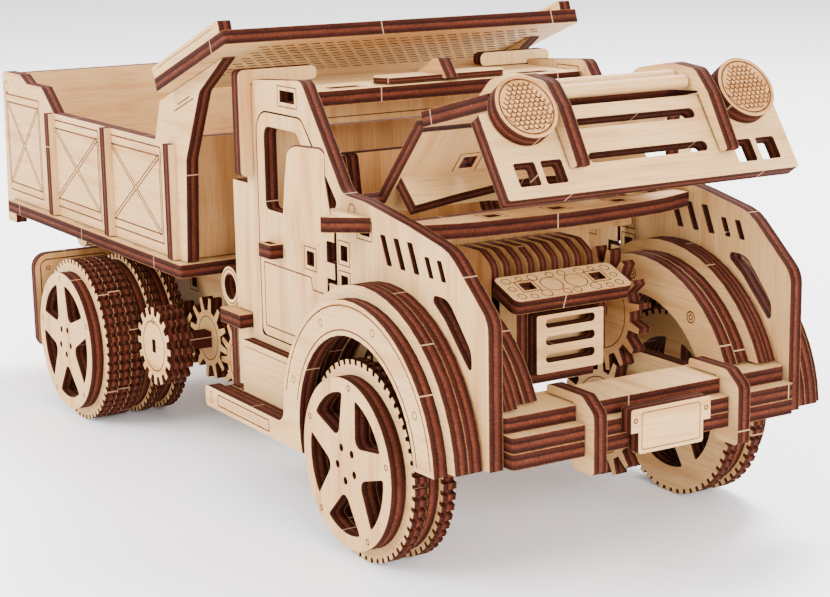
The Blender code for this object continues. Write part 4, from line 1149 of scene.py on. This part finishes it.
@dataclass
class TippingBed:
    """Floor, sides with battens and engraved crosses, headboard, slotted canopy, tailgate."""

    slope: float = 19.6
    panels: Sequence[tuple[float, float]] = ((-70.2, -44.0), (-33.6, -1.6), (5.8, 37.6))
    rail: float = 2.2
    gap: float = 0.9
    frame_line: float = 0.42
    cross_line: float = 0.36

    def side_outline(self) -> list[Point]:
        """Tall tail, straight top edge and the forward wing under the canopy."""
        return rounded([(50.7, 48.5), (52.5, 73.3, 3.0), (61.2, 90.0, 3.0), (74.4, 98.6), (38.8, 85.9),
                        (35.1, 76.3), (-32.6, 76.3), (-41.1, 82.7, 1.5), (-52.6, 82.7),
                        (-57.6, 84.9, 1.5), (-72.2, 84.9, 1.5), (-73.0, 62.0), (-74.6, 41.2, 1.0),
                        (-67.8, 41.2), (-67.8, 48.5)])

    def cross(self, x0: float, x1: float, z0: float, z1: float, face: Face) -> list[Stroke]:
        """Panel engraving: a frame, a second line at head and foot, and a cross with a small eye.

        Args:
            x0: rear edge.
            x1: front edge.
            z0: lower edge.
            z1: upper edge.
            face: which face of the sheet is engraved.

        Returns:
            The strokes.
        """
        middle = ((x0 + x1) / 2.0, (z0 + z1) / 2.0)
        inner = rectangle(x0 + self.gap, z0 + self.rail, x1 - self.gap, z1 - self.rail)
        strokes = [Stroke(path, face=face, width=self.frame_line)
                   for path in (rectangle(x0, z0, x1, z1), inner)]
        corners = [(u, v) for v in (z0 + self.rail, z1 - self.rail) for u in (x0 + self.gap, x1 - self.gap)]
        for u, v in corners:
            way = np.array(middle) - np.array((u, v))
            step = np.array([-way[1], way[0]]) / np.linalg.norm(way) * self.gap / 2.0
            for s in (-1, 1):
                first = np.array((u, v)) + step * s
                last = np.array(middle) - way / np.linalg.norm(way) * self.gap + step * s
                strokes.append(scored(tuple(first), tuple(last), face=face, width=self.cross_line))
        strokes.append(Stroke(circle(middle, 0.75, 16), face=face))
        return strokes

    def sides(self, kit: Kit) -> None:
        """Bed sides with their battens."""
        hinge = kit.axis("tailgate_swing")
        for side, tag in SIDES:
            outer = outward(side)
            strokes = [s for i, (a, b) in enumerate(self.panels)
                       for s in self.cross(a, b, 51.0, 78.6 if i == 0 else 74.6, outer)]
            strokes += [scored((46.8, 84.2), (58.0, 88.2), face=outer),
                        scored((49.0, 86.0), (56.0, 88.5), face=outer)]
            # the inward face takes the darker veneer: painted shade inside the bed
            panel = upright(self.side_outline(), side * BED_SIDE_Y, holes=[circle(hinge, 1.8, 28)],
                            strokes=strokes, warm=outward(-side))
            battens = [crosswise(rectangle(side * 43.0, 48.5, side * 44.8, 76.3),
                                 -35.5 + 39.4 * k + SHEET / 2.0, grain=Grain.UP) for k in range(3)]
            kit.piece("bed_side_" + tag, [panel] + battens)

    def canopy(self, kit: Kit) -> None:
        """Sloping canopy with staggered slots and two engraved fins."""
        lean = math.radians(self.slope)
        start = (45.4 + math.sin(lean) * SHEET / 2.0, 0.0, 91.9 - math.cos(lean) * SHEET / 2.0)
        slots = [rectangle(12.0 + 2.35 * row, v, 12.8 + 2.35 * row, v + 2.3) for row in range(11)
                 for v in np.arange(-37.0, 36.0, 3.3) + 1.65 * (row % 2)]
        plate = Sheet(rectangle(0.0, -47.2, 40.5, 47.2, 0.6), pitched(self.slope), start, holes=slots,
                      grain=Grain.UP)
        fin = rounded([(0.5, 1.5), (38.5, 1.5), (38.5, 4.4, 0.5), (-0.3, 4.4, 0.5)])
        lines = [scored((3.0, 3.5), (35.0, 3.5), face=Face.BOTH, width=FINE_LINE)]
        fins = [Sheet(fin, pitched(self.slope) @ SIDEWAYS, (start[0], y, start[2]), strokes=lines)
                for y in (-45.5, 45.5)]
        kit.piece("canopy", [plate] + fins)

    def build(self, kit: Kit) -> None:
        """Cut the bed."""
        pivot, hinge = kit.axis("bed_tip"), kit.axis("tailgate_swing")
        low, high = kit.box("bed_floor")
        tabs = [rectangle(x, s * BED_SIDE_Y - 1.6, x + 10.0, s * BED_SIDE_Y + 1.6)
                for x in (-58.0, -20.0, 20.0) for s in (-1, 1)]
        floor = level(rectangle(low[0], low[1], high[0], high[1], 0.8), 46.6,
                      strokes=[frame_round(tab, 0.5) for tab in tabs])
        lug = arc(pivot, 4.6, 180.0, 360.0) + [(pivot[0] + 8.0, 45.4), (pivot[0] - 5.0, 45.4)]
        lugs = [upright(lug, side * 24.8, holes=[circle(pivot, 1.8, 20)]) for side, _ in SIDES]
        kit.piece("bed_floor", [floor] + lugs)
        self.sides(kit)
        board = crosswise(rectangle(-39.5, 48.5, 39.5, 77.6, 0.4), 45.6, grain=Grain.UP)
        # darker veneer: painted shade on the headboard
        kit.piece("headboard", [board], warm=True)
        self.canopy(kit)
        frame = [Stroke(rectangle(-36.0, 46.0, 36.0, 80.0, 0.5), face=Face.BACK),
                 Stroke(rectangle(-34.6, 47.4, 34.6, 78.6, 0.5), face=Face.BACK, width=FINE_LINE)]
        frame += [scored((y, 47.4), (y, 78.6), face=Face.BACK, width=0.25) for y in (-11.6, 11.6)]
        gate = crosswise(rectangle(-39.5, 42.0, 39.5, 84.4, 1.0), hinge[0], strokes=frame)
        pins = [upright(circle(hinge, 1.5, 24), side * 41.1, thick=3.8) for side, _ in SIDES]
        kit.piece("tailgate", [gate] + pins)


@dataclass
class Hood:
    """Hood standing open: two top sheets, grille, ribs, dowel rods and scaled lamps."""

    pitch: float = 46.97
    cap_pitch: float = 13.1
    lean: float = 34.0
    foot: Point = (175.6, 79.0)
    knee: Point = (139.5, 91.8)
    heel: Point = (121.3, 72.3)
    lamp_r: float = 6.6
    ring_r: float = 5.75
    ring_line: float = 0.36
    scales_r: float = 5.5
    scale_high: float = 1.0
    scale_wide: float = 1.15
    scale_line: float = 0.30
    chamfer: float = 0.3
    rod_steps: int = 32

    def below(self, point: Point, angle: float, amount: float) -> tuple[float, float, float]:
        """Point moved down along a slope's normal."""
        t = math.radians(angle)
        return (point[0] + math.sin(t) * amount, 0.0, point[1] - math.cos(t) * amount)

    def tops(self, kit: Kit) -> None:
        """Rear plate with its bowed former, and the front plate with its cut-out."""
        rear = rounded(even([(-1.4, -35.1, 0.6), (1.8, -35.1), (1.8, -31.5), (24.0, -31.5)]))
        tabs = [rectangle(11.0, s - 1.7, 14.6, s + 1.7) for s in (-16.0, 16.0)]
        plate = Sheet(rear, pitched(self.pitch), self.below(self.heel, self.pitch, SHEET / 2.0), holes=tabs,
                      strokes=[frame_round(t, 1.1) for t in tabs])
        bow = rounded([(-31.0, 1.0), (31.0, 1.0), (31.0, -7.4), (20.0, -5.7, 40.0), (0.0, -3.2, 60.0),
                       (-20.0, -5.7, 40.0), (-31.0, -7.4)])
        t = math.radians(self.pitch)
        spot = (self.heel[0] + 8.6 * math.cos(t), self.heel[1] + 8.6 * math.sin(t))
        former = Sheet(bow, pitched(self.pitch) @ ACROSS, self.below(spot, self.pitch, SHEET))
        kit.piece("hood_rear_plate", [plate, former])
        cap = rounded(even([(0.0, -31.5), (24.4, -31.5), (24.4, -20.0), (16.4, -20.0)]))
        kit.piece("hood_front_plate", [Sheet(cap, pitched(self.cap_pitch),
                                             self.below(self.knee, self.cap_pitch, SHEET / 2.0),
                                             grain=Grain.UP)])

    def lamp_strokes(self, centre: Point) -> list[Stroke]:
        """Rim ring and rows of overlapping scales inside it."""
        strokes = [Stroke(circle(centre, self.ring_r, 40), width=self.ring_line)]
        turn = np.radians(np.linspace(200.0, 340.0, 7))
        for row in range(-5, 6):
            for k in range(-5, 6):
                v = centre[1] + row * self.scale_high * 0.9
                u = centre[0] + (k + 0.5 * (row % 2)) * self.scale_wide
                scale = np.column_stack([u + 0.62 * self.scale_wide * np.cos(turn),
                                         v + self.scale_high * (0.75 + np.sin(turn))])
                if np.max(np.hypot(scale[:, 0] - centre[0], scale[:, 1] - centre[1])) < self.scales_r:
                    strokes.append(scored(*(tuple(p) for p in scale), width=self.scale_line))
        return strokes

    def build(self, kit: Kit) -> None:
        """Cut the hood."""
        self.tops(kit)
        lean = math.radians(self.lean)
        ahead = np.array([math.cos(lean), 0.0, math.sin(lean)])
        middle = np.array([self.foot[0], 0.0, self.foot[1]]) - ahead * SHEET / 2.0
        turn = Matrix.Rotation(-lean, 4, "Y") @ ACROSS
        holes = [rectangle(-14.4, z, 14.4, z + 2.2, 1.05) for z in (5.7, 13.0)]
        holes += [rectangle(y - 2.4, 2.4, y + 2.4, 7.3, 0.5) for y in (-29.2, -23.1, 23.1, 29.2)]
        kit.piece("hood_grille", [Sheet(rectangle(-35.1, 0.0, 35.1, 18.0, 0.5), turn, tuple(middle),
                                        holes=holes)])
        rib = rounded([(173.5, 83.3, 0.4), (175.4, 84.0, 0.5), (169.2, 94.6, 3.0), (165.0, 99.0, 3.0),
                       (157.5, 99.7, 6.0), (146.5, 97.9, 5.0), (141.2, 93.2), (141.2, 92.6), (155.0, 95.8),
                       (156.0, 95.8), (156.4, 94.2), (166.0, 94.7)])
        for side, tag in SIDES:
            spot = middle + ahead * (SHEET + 0.3)
            centre = (side * 26.6, 17.0)
            kit.piece("headlamp_" + tag, [Sheet(circle(centre, self.lamp_r, 56), turn, tuple(spot),
                                                strokes=self.lamp_strokes(centre))], warm=True)
            kit.piece("hood_rib_" + tag, [upright(rib, side * 18.1)])
        for node in ("grille_rod_upper", "grille_rod_lower"):
            self.rod(kit, node)

    def rod(self, kit: Kit, node: str) -> None:
        """Dowel: a round profile carried across the truck, its ends slightly chamfered."""
        low, high = kit.box(node)
        radius, steps = (high[2] - low[2]) / 2.0, self.rod_steps
        middle = kit.middle(node)
        across = np.array([low[1], low[1] + self.chamfer, high[1] - self.chamfer, high[1]])
        reach = np.array([radius - self.chamfer, radius, radius, radius - self.chamfer])
        turn = np.linspace(0.0, 2.0 * math.pi, steps, endpoint=False)
        grid = np.stack([middle[0] + reach[:, None] * np.cos(turn),
                         np.broadcast_to(across[:, None], (len(across), steps)),
                         middle[2] + reach[:, None] * np.sin(turn)], axis=-1)
        verts = grid.reshape(-1, 3)
        i = np.arange(len(across) - 1)[:, None] * steps
        k = np.arange(steps)[None, :]
        after = (k + 1) % steps
        quads = np.stack([i + k, i + after, i + steps + after, i + steps + k], axis=-1).reshape(-1, 4)
        round_mm = 0.27  # spacing of the fibres round the rod in the UV map
        spread = np.tile(k.ravel().repeat(4) * round_mm, len(across) - 1)
        uvs = np.stack([verts[quads.ravel(), 1], spread], axis=-1) * MM
        shell = Shell()
        shell.add(verts + np.array([kit.axle_x, 0.0, 0.0]), [tuple(q) for q in quads], uvs, FACE_SLOT)
        last = (len(across) - 1) * steps
        caps = [tuple(range(steps - 1, -1, -1)), tuple(range(last, last + steps))]
        shell.grow(caps, np.zeros((2 * steps, 2)), FACE_SLOT, 0)
        kit.dress(node, shell)


@dataclass
class Doors:
    """Hinged doors with window, engraved lower panel, tab hole and handle."""

    round_r: float = 36.0

    def build(self, kit: Kit) -> None:
        """Cut both doors."""
        radius = self.round_r
        foot = arc(ARCH, radius, 180.0 - angle_at(ARCH, radius, 48.8), 180.0 - angle_at(ARCH, radius, 42.0))
        outline = rounded([(81.2, 36.6, 2.0), (81.2, 87.2, 4.8), (102.0, 87.2, 3.0), (112.2, 75.6, 1.5),
                           (112.2, 66.0), (115.6, 66.0), (115.6, 62.6), (112.2, 62.6), (112.2, 58.0),
                           (115.6, 58.0), (115.6, 54.6), (112.2, 54.6), *foot, (100.4, 36.6)])
        window = rounded([(84.6, 65.6, 1.6), (84.6, 84.2, 2.4), (99.8, 84.2, 2.0), (109.0, 73.6, 1.5),
                          (109.0, 65.6, 1.6)])
        tab = rectangle(103.2, 55.9, 106.6, 59.1)
        panel = rounded([(82.9, 38.8, 0.3), (82.9, 53.4, 0.3), (105.0, 53.4, 0.3), (105.6, 50.8, 0.3),
                         (110.6, 50.8, 0.3), (104.4, 42.6, 0.3), (99.4, 38.8, 0.3)])
        for side, tag in SIDES:
            outer = outward(side)
            handle = rectangle(86.4, -42.0, 92.4, -38.5, 0.6)
            grip = rectangle(87.6, -41.2, 91.2, -39.6, 0.3)
            if side > 0:
                handle, grip = flipped(handle), flipped(grip)
            sheet = upright(outline, side * CAB_SIDE_Y, holes=[window, tab], grain=Grain.UP,
                            strokes=[Stroke(panel, face=outer), frame_round(tab)])
            kit.piece("door_" + tag, [sheet, level(handle, 57.2, holes=[grip])])


# ------------------------------------------------------------------ studio
@dataclass(frozen=True)
class Lamp:
    """A rectangular soft light aimed at the truck."""

    name: str
    place: tuple[float, float, float]
    size: tuple[float, float]
    power: float
    tint: tuple[float, float, float] = (1.0, 1.0, 1.0)

    def hang(self, target: Vector) -> None:
        """Create the light."""
        data = bpy.data.lights.new(self.name, "AREA")
        data.shape = "RECTANGLE"
        data.size, data.size_y = self.size
        data.energy = self.power
        data.color = self.tint
        lamp = bpy.data.objects.new(self.name, data)
        lamp.location = self.place
        lamp.rotation_euler = (target - Vector(self.place)).to_track_quat("-Z", "Y").to_euler()
        bpy.context.scene.collection.objects.link(lamp)


@dataclass
class Studio:
    """Pale floor, soft daylight-white lamps and the camera."""

    azimuth: float = 58.771
    elevation: float = 12.343
    roll: float = -0.999
    camera_at: tuple[float, float, float] = (458.75, -227.21, 135.97)
    focal: float = 82.486
    floor_half: float = 6.0
    sky: float = 2.05
    aim: tuple[float, float, float] = (0.0, 0.0, 0.04)
    lamps: Sequence[Lamp] = (
        Lamp("back", (-0.40, 0.50, 1.00), (0.45, 0.45), 38.0, (1.0, 0.98, 0.96)),
        Lamp("key", (-0.25, -0.95, 0.65), (0.9, 0.7), 28.0, (1.0, 0.975, 0.94)),
        Lamp("fill", (1.05, -0.15, 0.34), (0.5, 0.4), 20.0, (1.0, 0.98, 0.96)))

    def floor(self) -> None:
        """White sweep that the truck stands on."""
        half = self.floor_half
        mesh = bpy.data.meshes.new("studio_floor")
        mesh.from_pydata([(u, v, 0.0) for u, v in rectangle(-half, -half, half, half)], [], [(0, 1, 2, 3)])
        material, tree, shader = surface("matt white studio board")
        place = add_node(tree, "ShaderNodeTexCoord").outputs["Object"]
        grit = add_node(tree, "ShaderNodeTexNoise", {"Vector": place, "Scale": 900.0, "Detail": 2.0})
        tree.links.new(ramp(tree, grit.outputs["Fac"], [(0.3, "#f6f5f7"), (0.7, "#fbfafc")]),
                       shader.inputs["Base Color"])
        shader.inputs["Roughness"].default_value = 0.6
        mesh.materials.append(material)
        floor = bpy.data.objects.new("studio_floor", mesh)
        bpy.context.scene.collection.objects.link(floor)

    def camera(self, kit: Kit) -> None:
        """Camera at the fitted angle, distance and lens."""
        a, e = math.radians(self.azimuth), math.radians(self.elevation)
        back = Vector((math.sin(a) * math.cos(e), -math.cos(a) * math.cos(e), math.sin(e)))
        right = Vector((math.cos(a), math.sin(a), 0.0))
        turn = Matrix((right, back.cross(right), back)).transposed()
        data = bpy.data.cameras.new("view")
        data.lens = self.focal
        data.sensor_width = 36.0
        data.clip_start = 0.01
        camera = bpy.data.objects.new("view", data)
        spin = Matrix.Rotation(math.radians(self.roll), 3, "Z")
        camera.matrix_world = (turn @ spin).to_4x4()
        x, y, z = self.camera_at
        camera.location = Vector((x + kit.axle_x, y, z)) * MM
        bpy.context.scene.collection.objects.link(camera)
        bpy.context.scene.camera = camera

    def build(self, kit: Kit) -> None:
        """Set up floor, light and camera."""
        self.floor()
        world = bpy.data.worlds.new("studio_white")
        world.use_nodes = True
        background = world.node_tree.nodes["Background"]
        background.inputs["Color"].default_value = UNCHANGED
        background.inputs["Strength"].default_value = self.sky
        bpy.context.scene.world = world
        for lamp in self.lamps:
            lamp.hang(Vector(self.aim))
        self.camera(kit)


def build_truck() -> None:
    """Load the frame, cut every sub-assembly and light it; each piece's face count goes to the log."""
    logging.basicConfig(level=logging.INFO, format="%(message)s")
    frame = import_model()
    kit = Kit(frame)
    groups = (Chassis(), Cab(), Engine(), Bumper(), Wings(), RunningGear(), TippingBed(), Hood(), Doors())
    for group in groups:
        group.build(kit)
    Studio().build(kit)


if __name__ == "__main__":
    build_truck()
